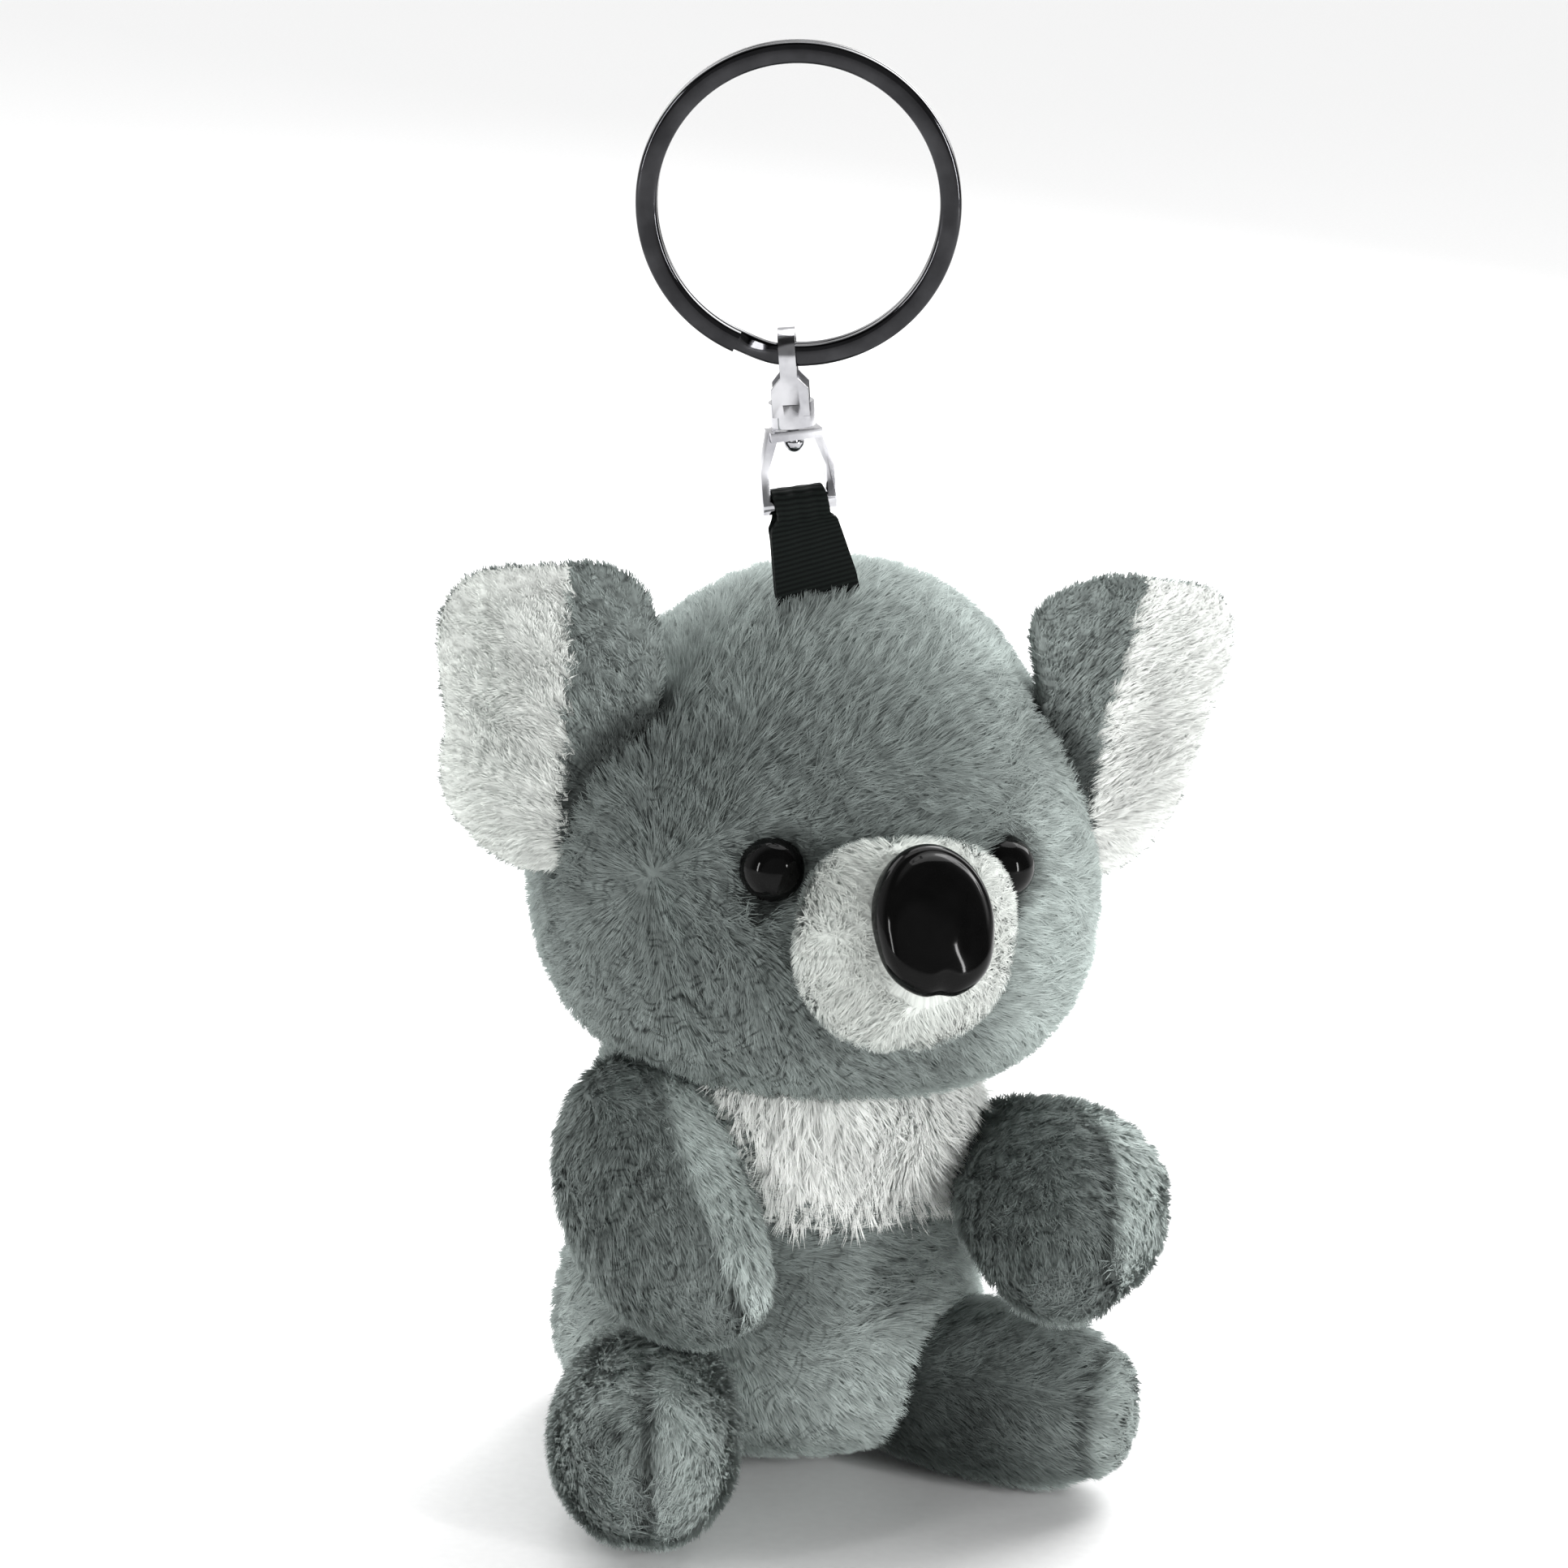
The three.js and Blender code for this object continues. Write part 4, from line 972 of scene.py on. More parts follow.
def shaped_muzzle(d):
    """Fuller than a ball at its upper corners, so that its outline is flat on top."""
    corner = 1 + MUZZLE_CORNER_SHARE * 4 * d[:, 0] ** 2 * d[:, 2] ** 2 * (d[:, 2] > 0)
    own = d * (MUZZLE_HALF - MUZZLE_PILE_DEPTH) * corner[:, None]
    low = smooth_step(-d[:, 2], 0.35, 0.9) * bell(own[:, 0], 0, FURROW_WIDTH)
    return (MUZZLE_PLACE + own - d * (FURROW_DEPTH * low)[:, None]) @ face_turn.T


def muzzle_keep(p, normal):
    stays = outside_neighbours((head_bag.depth, 0.96))(p, normal)
    return stays * (off_fitting(p, (nose_place, nose_axes), NOSE_HALF_WIDTH * 0.9, NOSE_HALF_HEIGHT * 0.9) > 1)


MUZZLE_WHORL = (tuple(face_turn @ (MUZZLE_PLACE + [0, 3, 2])), (0, -1, 0), 9)
muzzle = ball("muzzle_form", 56, 36, shaped_muzzle)
# Painted light makes the muzzle paler towards the koala's left, and painted shade darkens it below its middle.
muzzle = grow_pile(
    muzzle, "muzzle", density=20, length=1.5, lean=62, whorl=MUZZLE_WHORL, keep=muzzle_keep, seed=21,
    tuft=1.4, gather=0.1, painted_light=lambda p, n: 0.05 + 0.3 * smooth_step(p[:, 0], 2, 9),
    shade=lambda p, n: 0.1 * smooth_step(MUZZLE_PLACE[2] - p[:, 2], 0, 6),
)
dress(muzzle, white_plush, "white_plush", "muzzle_skin")

# %% [markdown]
# ## Torso and bib
#
# The torso is a grey bag that spreads where the toy sits. A white bib is let into it below the chin. The bib is
# cut from the same surface, lifted a little and given a thickness, so its edge follows the chest exactly.

# %% Torso
BIB_TOP_HALF_WIDTH = 17
BIB_TIP_HALF_WIDTH = 10.2
BIB_SIDE = 4
BIB_DROP = 17
BIB_BACK = -4  # its side ends lie this far forward
BIB_RAGGED = 0.7


def in_bib(p):
    """Millimetres from the bib's edge, above 0 inside it."""
    up = p[:, 2] - (TORSO_TOP - BIB_DROP)
    half = BIB_TIP_HALF_WIDTH + (BIB_TOP_HALF_WIDTH - BIB_TIP_HALF_WIDTH) * np.clip(up / BIB_DROP, 0, 1)
    inside = np.minimum(up, half - np.abs(p[:, 0] - BIB_SIDE))
    return np.minimum(inside, BIB_BACK - p[:, 1])


def bib_edge(p):
    wander, _ = ripple(p, 2.2, 78)
    return in_bib(p) + BIB_RAGGED * wander


limbs = [(limb.depth, 0.86) for limb in (arm_right, arm_left, leg_right, leg_left)]


def torso_keep(p, normal):
    return outside_neighbours((head_bag.depth, 0.92), *limbs)(p, normal) * (bib_edge(p) < 0)


# Painted light: the belly is painted paler towards the koala's left and low at its front.
def belly_painted_light(p, normal):
    right = smooth_step(p[:, 0], -4, 10)
    low = smooth_step(-p[:, 2], -22, -8)
    return np.clip(0.12 + 0.32 * right + 0.6 * low * (p[:, 1] < 0), 0, 1)


# Painted shade: more dashes on the koala's right side of the belly.
def belly_dashes(p, normal):
    return 0.2 + 0.45 * (1 - smooth_step(p[:, 0], -6, 6))


TORSO_WHORL = ((-24, -12, 26), (-1, -0.3, 0), 20)
torso = ball("torso_form", 96, 64, lambda d: torso_bag.place(d, -PILE_DEPTH))
bib = twin(torso)
torso = grow_pile(
    torso, "torso", density=15, length=2.3, lean=67, whorl=TORSO_WHORL, keep=torso_keep, seed=31, gather=0.22,
    painted_light=belly_painted_light, dashes=belly_dashes,
)
dress(torso, grey_plush, "grey_plush", "torso_skin")

# %% Bib
BIB_LIFT = 0.15
BIB_BACKING = 0.6
BIB_MARGIN = 1.5  # how far its cloth runs past the edge, below the grey pile

cut_panel(bib, lambda p, normal: in_bib(p) > -BIB_MARGIN, BIB_LIFT, BIB_BACKING)


def bib_keep(p, normal):
    return outside_neighbours((head_bag.depth, 0.92), *limbs)(p, normal) * (bib_edge(p) > 0) * (normal[:, 1] < 0.2)


BIB_WHORL = ((0, 6, 62), (0, -0.4, -1), 20)
# Painted light: the bib is painted pale all over.
bib = grow_pile(
    bib, "chest_bib_plush", density=20, length=2.6, lean=66, whorl=BIB_WHORL, keep=bib_keep, seed=41,
    tuft=1.6, gather=0.2, pressed=False, painted_light=whole,
)
dress(bib, white_plush, "white_plush", "chest_bib")

# %% [markdown]
# ## Arms and legs
#
# Each limb is two panels sewn along its sides. The nap runs towards the paw. The seam shows as a shallow groove
# with painted shade along it, and on one panel of each arm the pile lies the other way and is painted paler with
# painted light. On the right sole the seam stands upright in the middle, and on the left leg it runs round the sole.

# %% Limb forms
SEAM_DEPTH = 0.4
SEAM_WIDTH = 1.0
SEAM_SHADE = 0.75
SEAM_SHADE_WIDTH = 0.45
NO_SEAM = 99  # a distance at which a seam shows nothing


def grow_limb(limb, name, seed, seam, pale, dashes, neighbours, node, fullness=None, dusk=None):
    """seam, pale, dashes and dusk take the share along the limb and the shares across and above it."""

    def shaped(d):
        p = limb.place(d, -PILE_DEPTH)
        t, x, y = limb.local(p)
        inward = unit(limb.line(np.clip(t, 0.15, 0.85)) - p)
        p = p + inward * (SEAM_DEPTH * bell(seam(t, x, y), 0, SEAM_WIDTH))[:, None]
        return p if fullness is None else p + fullness(t, x, y)[:, None] * limb.across

    def shade(p, normal):
        t, x, y = limb.local(p)
        dark = SEAM_SHADE * bell(seam(t, x, y), 0, SEAM_SHADE_WIDTH)
        return dark if dusk is None else np.maximum(dark, dusk(t, x, y))

    whorl = (tuple(limb.root - limb.along * 8), tuple(limb.along), 9)
    form = ball(name + "_form", 64, 44, shaped)
    piece = grow_pile(
        form, name, density=15, length=2.2, lean=67, whorl=whorl, keep=outside_neighbours(*neighbours), seed=seed,
        gather=0.22, painted_light=lambda p, n: pale(*limb.local(p)), dashes=lambda p, n: dashes(*limb.local(p)),
        shade=shade,
    )
    dress(piece, grey_plush, "grey_plush", node)


body_rooms = [(torso_bag.depth, 0.93), (head_bag.depth, 0.95)]


# %% Right arm
def arm_right_seam(t, x, y):
    return np.where(y > -0.5, (x - 0.24) * 9, NO_SEAM)


# Painted light: the panel beyond the seam is painted pale; the other panel carries dashes of painted shade.
def arm_right_pale(t, x, y):
    return 0.1 + 0.9 * smooth_step(x, 0.22, 0.34)


grow_limb(
    arm_right, "arm_right", 51, arm_right_seam, arm_right_pale,
    lambda t, x, y: 0.7 * (1 - smooth_step(x, 0.15, 0.3)), body_rooms, "arm_right_skin",
)


# %% Left arm
def arm_left_seam(t, x, y):
    return (x - 0.34) * 9


def arm_left_pale(t, x, y):
    """Painted light: the outer panel's pile lies the other way and is painted pale."""
    return 0.03 + 0.92 * smooth_step(x, 0.34, 0.48)


INNER_FULLNESS = 3.2


def arm_left_fullness(t, x, y):
    """The arm hangs full on its inner side, down to the leg."""
    return -INNER_FULLNESS * smooth_step(-x, 0, 0.8) * smooth_step(-y, -0.6, 0.4) * bell(t, 0.6, 0.35)


grow_limb(
    arm_left, "arm_left", 52, arm_left_seam, arm_left_pale, lambda t, x, y: 0.9 * (1 - smooth_step(x, 0.2, 0.4)),
    body_rooms, "arm_left_skin", fullness=arm_left_fullness,
)


# %% Legs
SOLE_PLACE = 0.86  # share along the leg at which its sole is sewn on


def sole_seam(t, x, y):
    return np.where(t > 0.6, x * 9, NO_SEAM)


# Painted light: the leg is painted paler above the sole, and on the sole's half towards the koala's left.
def leg_right_pale(t, x, y):
    sides = 0.35 * (1 - smooth_step(t, 0.78, 0.9))
    return 0.26 + sides + (0.5 - sides) * smooth_step(x, 0.0, 0.25)


grow_limb(
    leg_right, "leg_right", 53, sole_seam, leg_right_pale, lambda t, x, y: 1 - smooth_step(x, -0.1, 0.3),
    body_rooms, "leg_right_skin",
)


def leg_left_seam(t, x, y):
    return (t - SOLE_PLACE) * LEG["length"]


# Painted light: the sole is painted paler than the rest of the leg.
def leg_left_pale(t, x, y):
    return 0.04 + 0.42 * smooth_step(t, SOLE_PLACE, SOLE_PLACE + 0.06)


def leg_left_dusk(t, x, y):
    """The side of the leg beside the belly lies in its shade."""
    return 0.65 * (1 - smooth_step(t, 0.55, 0.85)) * smooth_step(y, -0.9, -0.2)


grow_limb(
    leg_left, "leg_left", 54, leg_left_seam, leg_left_pale, lambda t, x, y: 0.4 * (1 - smooth_step(t, 0.7, 0.8)),
    body_rooms, "leg_left_skin", dusk=leg_left_dusk,
)

# %% [markdown]
# ## The ears
#
# Each ear is a shallow cup of two panels sewn along the rim. The grey back panel folds round to the front beside
# the head, and the white front panel fills the rest of the cup. Both panels are cut from one shaped form: the
# white one is lifted off it and given a thickness, as the bib was.

# %% Ears
EAR_PILE_INSET = 0.9
EAR_LIFT = 0.12
EAR_HOLLOW = 1.1
EAR_SHADE = 0.2
# The grey back panels get a little painted light and dashes of painted shade.
EAR_GREY_PAINTED_LIGHT = 0.22
EAR_GREY_DASHES = 0.7
EAR_RIM_TRIM = 0.45  # the pile is shorter on the rim
EAR_FULLNESS = {-1: (2.2, 0), 1: (0.9, 3.4)}  # how much fuller low at the rim, and high beside the head


def right_ear_painted_light(p, normal):
    """Painted light: paler beside the fold than on the outer half."""
    return 0.5 - 0.3 * smooth_step(ear_local(p, -1)[:, 0], 1, 6)


# Painted light: the left ear's white panel is painted pale all over, the right one only in part.
ear_painted_light = {-1: right_ear_painted_light, 1: whole}
beside_head = outside_neighbours((head_bag.depth, 0.94))

for side, side_name, seed in ((-1, "right", 61), (1, "left", 63)):

    def shaped_ear(d, side=side):
        x, z = d[:, 0] * side, d[:, 2]
        front = smooth_step(-d[:, 1], 0.2, 0.8)
        hollow = EAR_HOLLOW * front * bell(x, 0.3, 0.3) * bell(z, 0, 0.5)
        low = EAR_FULLNESS[side][0] * bell(x, 0.9, 0.5) * bell(z, -0.4, 0.35)
        high = EAR_FULLNESS[side][1] * bell(x, -0.8, 0.4) * bell(z, 0.6, 0.3)
        own = np.stack([low - high, hollow, 0 * x], 1)
        return ear_place(d, side, EAR_PILE_INSET) + own @ ear_turn.T * [side, 1, 1]

    def rim_trim(p, normal, side=side):
        own = ear_local(p, side)
        off = np.hypot(own[:, 0] / EAR_HALF_WIDTH, own[:, 2] / EAR_HALF_HEIGHT)
        return 1 - EAR_RIM_TRIM * smooth_step(off, 0.72, 0.95)

    def hollow_shade(p, normal, side=side):
        own = ear_local(p, side)
        return EAR_SHADE * bell(own[:, 0], 3, 2.2) * bell(own[:, 2], 0, 9) * (normal[:, 1] < 0)

    form = ball("ear_form", 72, 48, shaped_ear)
    front_panel = twin(form)
    ear_whorl = (tuple((EAR_PLACE + [-9, 0, -12]) * [side, 1, 1]), (0, -1, 0), 16)

    back_piece = grow_pile(
        form, f"ear_{side_name}_back_plush", density=16, length=2.0, lean=66, whorl=ear_whorl, seed=seed,
        keep=lambda p, n, side=side: beside_head(p, n) * (1 - ear_white(p, side, n)), gather=0.2, trim=rim_trim,
        painted_light=lambda p, n: EAR_GREY_PAINTED_LIGHT * whole(p, n), dashes=lambda p, n: EAR_GREY_DASHES * whole(p, n),
        shade=near_neighbours((head_bag.depth, 0.8, 0.1)),
    )
    dress(back_piece, grey_plush, "grey_plush", f"ear_{side_name}_back")

    cut_panel(front_panel, lambda p, n, side=side: ear_white(p, side, n) > 0.5, EAR_LIFT, BIB_BACKING)
    front_piece = grow_pile(
        front_panel, f"ear_{side_name}_front_plush", density=22, length=1.4, lean=62, whorl=ear_whorl,
        seed=seed + 1, keep=lambda p, n, side=side: beside_head(p, n) * ear_white(p, side, n), tuft=1.4,
        gather=0.12, trim=rim_trim, painted_light=ear_painted_light[side], shade=hollow_shade,
    )
    dress(front_piece, white_plush, "white_plush", f"ear_{side_name}_front")

# %% [markdown]
# ## Eyes and nose
#
# All three are moulded black plastic with a polished face, held by a shank and a washer inside. They are turned
# shapes, so each starts as a ball that is flattened into a dome with a thin rim. The nose also has a raised lip
# round its upper edge and two shallow nostrils, which are what its reflections break on.

# %% Gloss black
def gloss(name, roughness, grain_size, grain):
    """Polished black plastic, with a faint grain in its tone and surface."""
    plastic = Wiring(bpy.data.materials.new(name))
    wander = plastic.noise(plastic.place(), grain_size)
    return plastic.shaded({
        "Base Color": plastic.ramp(wander, (0, grey(0.002)), (1, grey(0.005))),
        "Roughness": roughness, "Specular IOR Level": 0.1,
        "Normal": plastic.bump(wander, grain, 0.05 * MM),
    })


eye_gloss = gloss("eye_gloss", roughness=0.06, grain_size=700, grain=0.1)
nose_gloss = gloss("nose_gloss", roughness=0.09, grain_size=420, grain=0.25)


# %% Beads
SHANK_RADIUS = 1.1
SHANK_LENGTH = 3
BEAD_RADIUS = EYE_RADIUS * 0.9  # the fur lies over the rest of its rim
EYE_SINK = 1.5  # how deep the bead's rim lies in the pile
BEAD_BACK = 1.2
SHANK_START = 0.8  # the ball's back, from this share on, is drawn out into the shank
SHANK_STEP = 0.4  # share of the ball's width at which the shank's side begins


def fitting_ball(name, fitting, around, rings, profile):
    """A ball placed in a fitting's frame. profile takes unit directions and gives local places."""
    place, axes = fitting
    return ball(name, around, rings, lambda d: place + profile(d) @ axes)


def shade_and_ride(piece, material, slot, *stands_for):
    select_only(piece)
    bpy.ops.object.shade_smooth()
    piece.data.materials.append(material)
    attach(piece, "plush")
    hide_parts(*stands_for)


def bead_profile(d):
    flat = np.hypot(d[:, 0], d[:, 1])
    dome = np.where(d[:, 2] > 0, d[:, 2] * EYE_BULGE, d[:, 2] * BEAD_BACK) - EYE_SINK
    shank = d[:, 2] < -SHANK_START
    width = np.where(shank, SHANK_RADIUS / np.maximum(flat, 1e-3) * np.minimum(flat / SHANK_STEP, 1), BEAD_RADIUS)
    depth = np.where(shank, -SHANK_LENGTH * np.clip(1.6 - flat / SHANK_STEP, 0, 1), dome)
    return np.stack([d[:, 0] * width, d[:, 1] * width, depth], 1)


for side_name, fitting in eyes.items():
    bead = fitting_ball(f"eye_{side_name}_bead", fitting, 48, 32, bead_profile)
    shade_and_ride(bead, eye_gloss, "gloss_black", f"eye_{side_name}")


# %% Nose
NOSE_FLATNESS = 0.65  # below 1, so that the dome is flatter than a ball and steeper at its rim
NOSE_GROOVE = 0.16
LIP_PLACE, LIP_WIDTH = 0.82, 0.045
NOSTRIL_DEPTH = 0.13
NOSTRIL_PLACE, NOSTRIL_SIZE, NOSTRIL_SLANT = (0.42, -0.4), (0.2, 0.24), 0.25
NOSE_FOLD = 0.12
NOSE_FOLD_WIDTH = 0.16
NOSE_SQUARENESS = 0.1
NOSE_NOTCH = 0.05
NOSE_BACK = 3.2
NOSE_STEPS = 30
NOSE_STEP = 0.12
NOSE_SEAT = 0.97  # share of the muzzle's size at which the back rests


def nose_profile(d):
    x, y = d[:, 0], d[:, 1]
    out = np.hypot(x, y)
    front = d[:, 2] > 0
    rise = np.where(front, np.maximum(d[:, 2], 0) ** NOSE_FLATNESS * NOSE_BULGE, d[:, 2] * NOSE_BACK)
    lip = -NOSE_GROOVE * bell(out, LIP_PLACE, LIP_WIDTH) * smooth_step(y + 0.3 * x, -0.1, 0.5)
    aside = NOSTRIL_PLACE[0] + NOSTRIL_SLANT * (y - NOSTRIL_PLACE[1])
    hollow = NOSTRIL_DEPTH * bell(y, NOSTRIL_PLACE[1], NOSTRIL_SIZE[1])
    nostril = hollow * (bell(x, -aside, NOSTRIL_SIZE[0]) + bell(x, aside, NOSTRIL_SIZE[0]))
    fold = NOSE_FOLD * bell(x, 0, NOSE_FOLD_WIDTH) * smooth_step(-y, 0.35, 0.9)
    square = 1 + NOSE_SQUARENESS * smooth_step(-y, 0.2, 0.9)
    notch = NOSE_NOTCH * bell(x, 0, NOSE_FOLD_WIDTH) * smooth_step(-y, 0.6, 1)
    return np.stack([
        x * NOSE_HALF_WIDTH * square,
        (y + notch) * NOSE_HALF_HEIGHT,
        rise + np.where(front, lip - nostril - fold, 0),
    ], 1)


nose = fitting_ball("nose_moulding", (nose_place, nose_axes), 96, 64, nose_profile)
laid_on = points_of(nose)
for _ in range(NOSE_STEPS):  # the back follows the muzzle that it lies on
    laid_on += NOSE_STEP * (muzzle_depth(laid_on) < NOSE_SEAT)[:, None] * nose_axes[2]
set_points(nose, laid_on)
shade_and_ride(nose, nose_gloss, "gloss_black", "nose")

# %% [markdown]
# ## The ribbon
#
# A black ribbon 8 mm wide with a fine crosswise rib, doubled over the stirrup's bar. It is full width at the crown
# and drawn together where it passes the bar. A flat grid is laid along that path and given a thickness. The ribbon
# bends where it leaves the head, so it blends between the toy and the swinging part.

# %% Ribbon places
RIBBON_WIDTH = 8
RIBBON_PINCHED_WIDTH = 5
RIBBON_LAYER = 0.45
RIBBON_LENGTH = 8
RIBBON_LEAN = math.radians(17)
RIBBON_TAB = 3
BAR_RADIUS = 0.8
BAR_CLEARANCE = 0.3
HARDWARE_LEAN = math.radians(9)
crown_way = np.array([[-0.165, -0.27, math.sqrt(1 - 0.165 ** 2 - 0.27 ** 2)]])
ribbon_foot = head_bag.place(crown_way, 0.4)[0]
ribbon_up = np.array([-math.sin(RIBBON_LEAN), 0, math.cos(RIBBON_LEAN)])
ribbon_across = np.array([math.cos(RIBBON_LEAN), 0, math.sin(RIBBON_LEAN)])
bar_across = np.array([math.cos(HARDWARE_LEAN), 0, math.sin(HARDWARE_LEAN)])

# %% Ribbon form
RIBBON_STEPS = 120
RIBBON_ACROSS = 24
PUCKER, PUCKER_WAVE = 0.12, 9
LAYER_STEP = RIBBON_LAYER * 0.6  # half the way from one leg's middle to the other's
CLOSED_AFTER = 3.2  # the two legs lie together this far below the fold
PINCH_START, PINCH_END = 3.2, 1  # below the ribbon's upper end

ribbon = added(
    bpy.ops.mesh.primitive_grid_add, "ribbon", x_subdivisions=RIBBON_STEPS, y_subdivisions=RIBBON_ACROSS, size=2
)
share = points_of(ribbon) * MM
fold_radius = BAR_RADIUS + BAR_CLEARANCE + RIBBON_LAYER / 2
half_fold = math.pi * fold_radius / 2
straight = RIBBON_LENGTH + RIBBON_TAB
run = share[:, 0] * (straight + half_fold)
past = np.maximum(np.abs(run) - half_fold, 0)
angle = np.clip(run / half_fold, -1, 1) * math.pi / 2
height = np.where(past > 0, RIBBON_LENGTH - past, RIBBON_LENGTH + fold_radius * np.cos(angle))
apart = fold_radius - (fold_radius - LAYER_STEP) * smooth_step(past, 0.3, CLOSED_AFTER)
forward = np.where(past > 0, np.sign(run) * apart, fold_radius * np.sin(angle))
tapered = 0.5 * np.clip(height / (RIBBON_LENGTH - 2), 0, 1)
narrow = np.maximum(tapered, smooth_step(height, RIBBON_LENGTH - PINCH_START, RIBBON_LENGTH - PINCH_END))
half_width = RIBBON_WIDTH / 2 + (RIBBON_PINCHED_WIDTH - RIBBON_WIDTH) / 2 * narrow
pucker = PUCKER * np.sin(share[:, 1] * PUCKER_WAVE) * narrow * np.sign(forward + 1e-6)
bar_share = smooth_step(height, RIBBON_LENGTH - 4, RIBBON_LENGTH)[:, None]
across = ribbon_across * (1 - bar_share) + bar_across * bar_share
set_points(
    ribbon,
    ribbon_foot + height[:, None] * ribbon_up + (share[:, 1] * half_width)[:, None] * across
    + (forward + pucker)[:, None] * np.array([0, -1.0, 0]),
)
lengths = np.stack([share[:, 0] * (straight + half_fold) / RIBBON_WIDTH, share[:, 1] / 2 + 0.5], 1)
weave_map = ribbon.data.uv_layers.active or ribbon.data.uv_layers.new(name="UVMap")
corner_points = all_of(ribbon.data.loops, "vertex_index", np.int32, 1)[:, 0]
weave_map.data.foreach_set("uv", lengths[corner_points].astype(np.float32).ravel())
apply_modifier(ribbon, "SOLIDIFY", thickness=RIBBON_LAYER * MM * 0.85, offset=0)

# %% Ribbon weave
weaving = Wiring(bpy.data.materials.new("black_ribbon"))
laid = weaving.place("UV")
rib = weaving.add(
    "TexWave", "Fac", {"Vector": laid, "Scale": 5.2, "Distortion": 0.25, "Detail Scale": 3},
    wave_type="BANDS", bands_direction="X",
)
threads = weaving.arithmetic("MULTIPLY_ADD", weaving.noise(laid, 60), 0.35, rib)
weave = weaving.shaded({
    "Base Color": weaving.ramp(threads, (0, (0.002, 0.0025, 0.0025)), (1, (0.008, 0.0105, 0.0095))),
    "Roughness": 0.7, "Specular IOR Level": 0.06, "Sheen Weight": 0.01, "Sheen Roughness": 0.35,
    "Normal": weaving.bump(threads, 0.6, 0.08 * MM),
})

select_only(ribbon)
bpy.ops.object.shade_smooth_by_angle(angle=math.radians(40))
ribbon.data.materials.append(weave)
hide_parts("ribbon_loop", "ribbon_tab")
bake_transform(ribbon)

# %% [markdown]
# ## Metal
#
# The stirrup and the swivel are small bent and turned pieces of nickel-plated steel. Their construction shapes
# are right, so a merged copy of each gets its edges rounded, and each rounded edge gets a painted dark reflection,
# as bright metal's edges are dark in the photograph. The split ring is darker in the photograph, so its nickel is
# painted dark, a painted reflection of dark surroundings. It is wound as the real one is: the section of the wire,
# a circle pressed nearly square, is spun through two turns about the ring's axis, and each turn is then shifted to
# its own side.

# %% Nickel
# Painted reflection: the dark outline colour painted on rounded metal edges.
PAINTED_EDGE_REFLECTION = (0.03, 0.03, 0.032, 1)


def plating(name, dull, bright, smoothest, roughest, coat):
    """A plated metal whose tone and polish wander a little, and which is painted dark where a piece stores a rim: a
    painted reflection on rounded edges.
    """
    metal = Wiring(bpy.data.materials.new(name))
    worn = metal.noise(metal.place(), 300, 6)
    tone = metal.ramp(worn, (0.35, dull), (0.65, bright))
    return metal.shaded({
        "Base Color": metal.mixed("MIX", metal.read("rim"), tone, PAINTED_EDGE_REFLECTION),
        "Metallic": 1, "Coat Weight": coat,
        "Roughness": metal.ranged(worn, 0, 1, smoothest, roughest),
    })


nickel = plating(
    "nickel", dull=(0.30, 0.30, 0.32), bright=(0.54, 0.54, 0.56), smoothest=0.06, roughest=0.24, coat=0
)
# Painted reflection: the split ring's nickel is painted dark, as a reflection of dark surroundings.
dark_nickel = plating(
    "dark_nickel", dull=(0.012, 0.012, 0.014), bright=(0.03, 0.03, 0.033), smoothest=0.08, roughest=0.2, coat=0.4
)

# %% Stirrup and swivel
EDGE_ROUND = 0.15


def rounded_copy(node, body):
    made = twin(nodes[node])
    made.parent = None
    made.name = node + "_plated"
    for key in list(made.keys()):
        del made[key]
    with editing(made):
        bpy.ops.mesh.select_all(action="SELECT")
        bpy.ops.mesh.remove_doubles(threshold=0.002 * MM)
        bpy.ops.mesh.dissolve_limited(angle_limit=math.radians(1))
    made.data.materials.clear()
    made.data.materials.append(nickel)
    made.data.materials.append(nickel)  # a second place, with which the bevel marks its faces
    apply_modifier(
        made, "BEVEL", width=EDGE_ROUND * MM, segments=3, limit_method="ANGLE", angle_limit=math.radians(35),
        material=1,
    )
    marks = all_of(made.data.polygons, "material_index", np.int32, 1)[:, 0]
    made.data.polygons.foreach_set("material_index", 0 * marks)
    made.data.materials.pop(index=1)
    # The rounded faces are stored as the rim, where the plating paints its dark edge reflection.
    made.data.attributes.new("rim", "FLOAT", "FACE").data.foreach_set("value", marks.astype(np.float32))
    print(node, "has", int(marks.sum()), "rounded faces of", len(marks))
    select_only(made)
    bpy.ops.object.shade_smooth_by_angle(angle=math.radians(35))
    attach(made, body)
    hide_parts(node)


rounded_copy("stirrup", "stirrup")
rounded_copy("swivel_eye", "swivel")
rounded_copy("swivel_rivet", "swivel")

# %% Split ring
RING_RADIUS = 15
WIRE_WIDTH = 2
BAND = 2.5
TURN_SEAM = 0.03
STEP_PLACE = math.radians(-28)
STEP_SPAN = math.radians(16)
RING_STEPS = 360
WIRE_SIDES = 24
WIRE_SQUARENESS = 0.6

joints = {joint["name"]: joint for joint in frame["joints"]}
tilt_joint = joints["ring_tilt"]
ring_foot = np.array(tilt_joint["pos_m"]) / MM
ring_x = unit(np.array(tilt_joint["axis"], float))
ring_box = [np.array(corner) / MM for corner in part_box("split_ring")]
ring_middle = (ring_box[0] + ring_box[1]) / 2
ring_up = unit(ring_middle - ring_foot)
ring_up = unit(ring_up - (ring_up @ ring_x) * ring_x)
ring_axis = np.cross(ring_up, ring_x)
wire_thick = (BAND - TURN_SEAM) / 2
mean_radius = RING_RADIUS - WIRE_WIDTH / 2

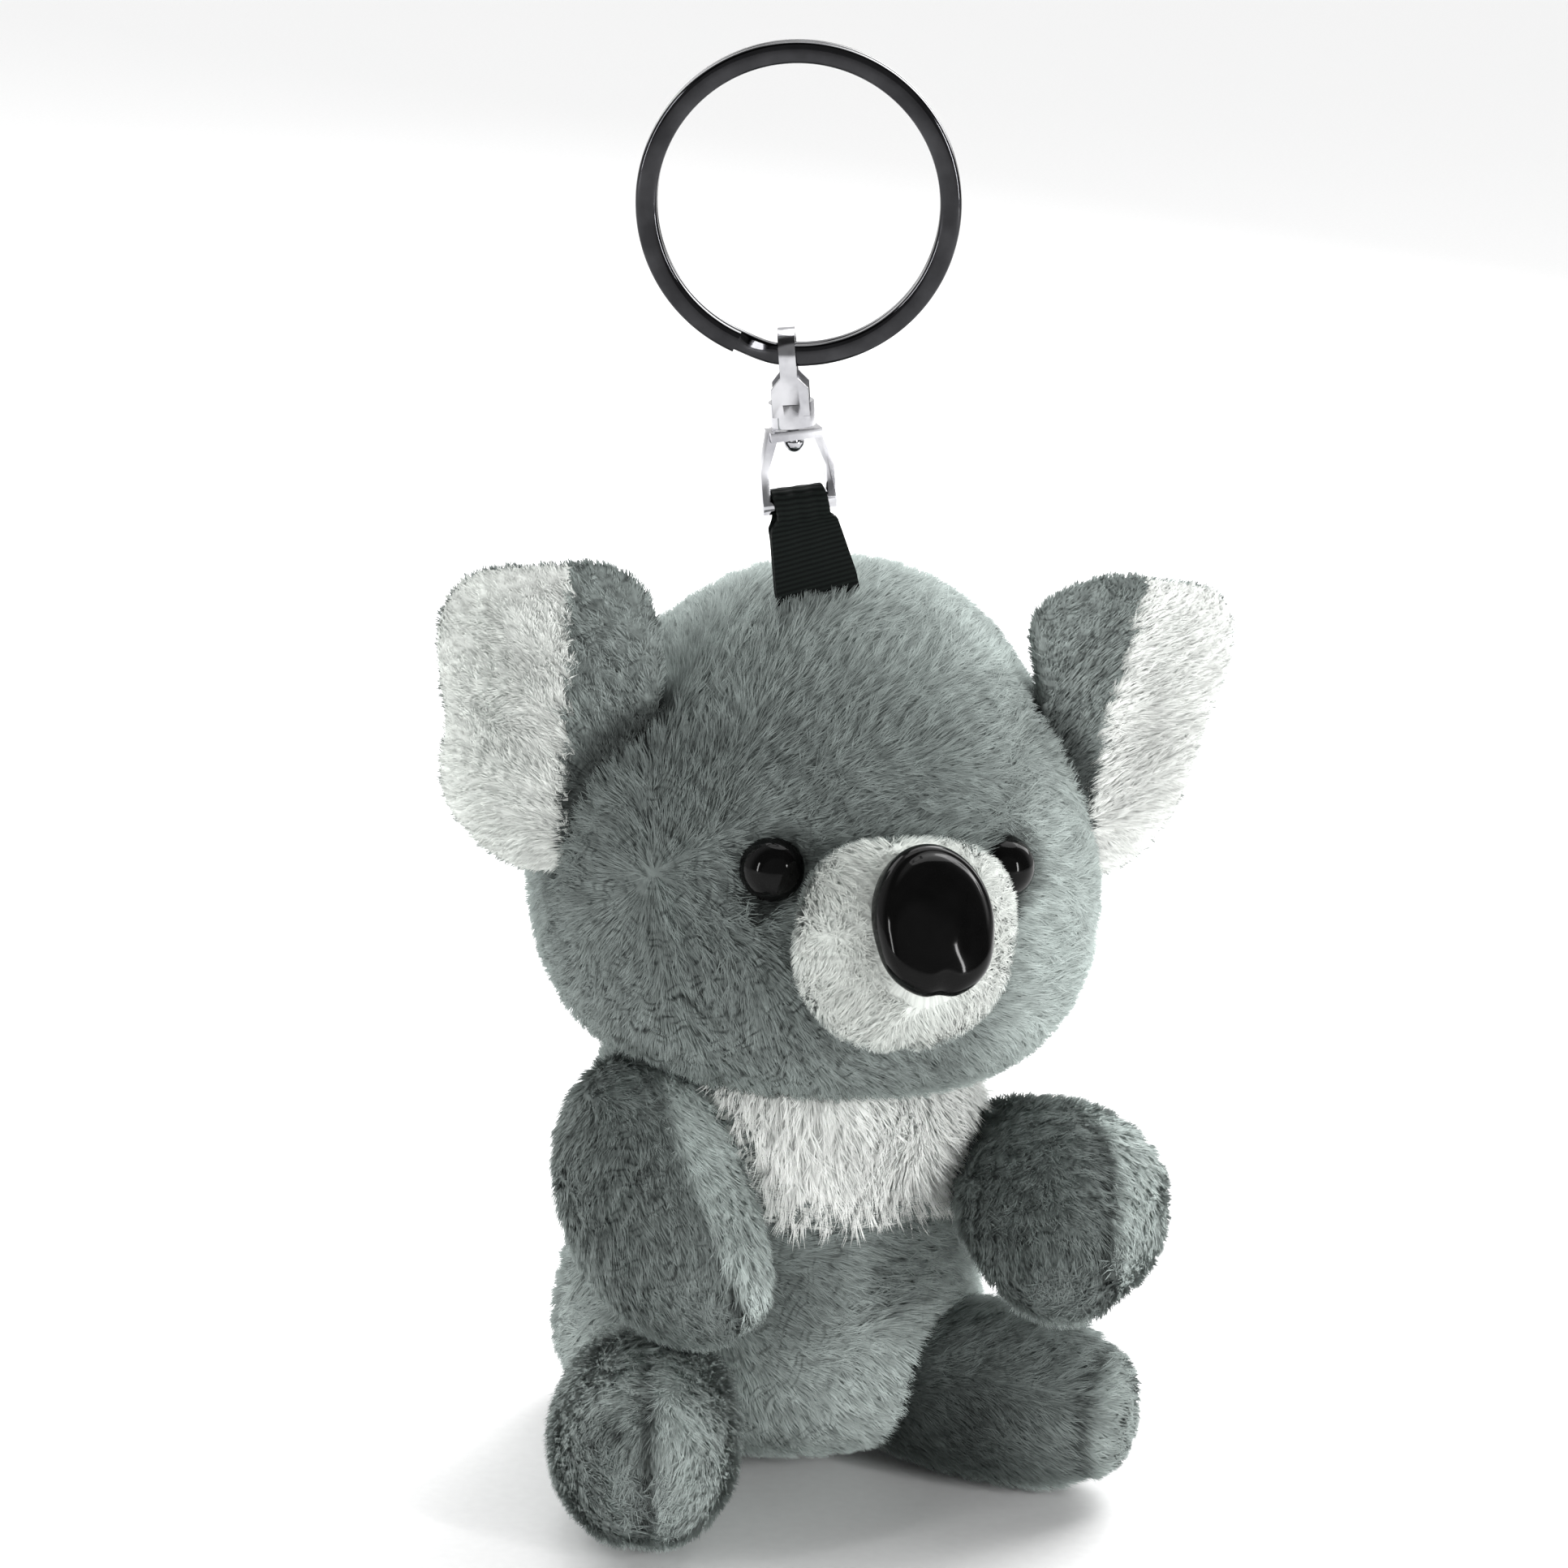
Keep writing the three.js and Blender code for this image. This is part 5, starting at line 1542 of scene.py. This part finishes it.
ring_centre = ring_foot + ring_up * mean_radius
start = STEP_PLACE + STEP_SPAN / 2
outwards = math.sin(start) * ring_x - math.cos(start) * ring_up

split_ring = added(bpy.ops.mesh.primitive_circle_add, "split_ring_wire", vertices=WIRE_SIDES, radius=1)
section = points_of(split_ring)[:, :2] * MM
section = np.sign(section) * np.abs(section) ** WIRE_SQUARENESS
set_points(
    split_ring,
    ring_centre + (mean_radius + section[:, :1] * WIRE_WIDTH / 2) * outwards
    + section[:, 1:] * wire_thick / 2 * ring_axis,
)
total = 4 * math.pi - STEP_SPAN
count = int(RING_STEPS * total / (2 * math.pi))
with editing(split_ring):
    bpy.ops.mesh.select_all(action="SELECT")
    bpy.ops.mesh.spin(steps=count, angle=total, center=tuple(ring_centre * MM), axis=tuple(-ring_axis))
    bpy.ops.mesh.select_all(action="SELECT")
    bpy.ops.mesh.fill_holes(sides=0)
    bpy.ops.mesh.normals_make_consistent(inside=False)
wound = np.repeat(np.arange(count + 1), WIRE_SIDES) / count * total
shift = (wire_thick + TURN_SEAM) * (smooth_step(wound, 2 * np.pi - STEP_SPAN, 2 * np.pi) - 0.5)
set_points(split_ring, points_of(split_ring) + shift[:, None] * ring_axis)
bpy.ops.object.shade_smooth_by_angle(angle=math.radians(50))
split_ring.data.materials.append(dark_nickel)
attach(split_ring, "ring")
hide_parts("split_ring")
print("split ring:", len(split_ring.data.polygons), "faces")

# %% [markdown]
# ## Inside
#
# The stuffing and the washers are sealed in, and only their material is set here: loose fibre, and natural
# plastic with a faint grain.

# %% Fibre and washer plastic
fibre = grained(
    "fibre_filling", (0.62, 0.62, 0.6), (0.92, 0.92, 0.9), size=800, detail=5, roughness=0.95, specular=0.5
)
washer = grained(
    "washer_plastic", (0.72, 0.72, 0.69), (0.84, 0.84, 0.81), size=300, detail=5, roughness=0.5, specular=0.5
)
for name, node in nodes.items():
    if name.endswith(("_stuffing", "_washer")):
        node.data.materials.clear()
        node.data.materials.append(fibre if name.endswith("_stuffing") else washer)
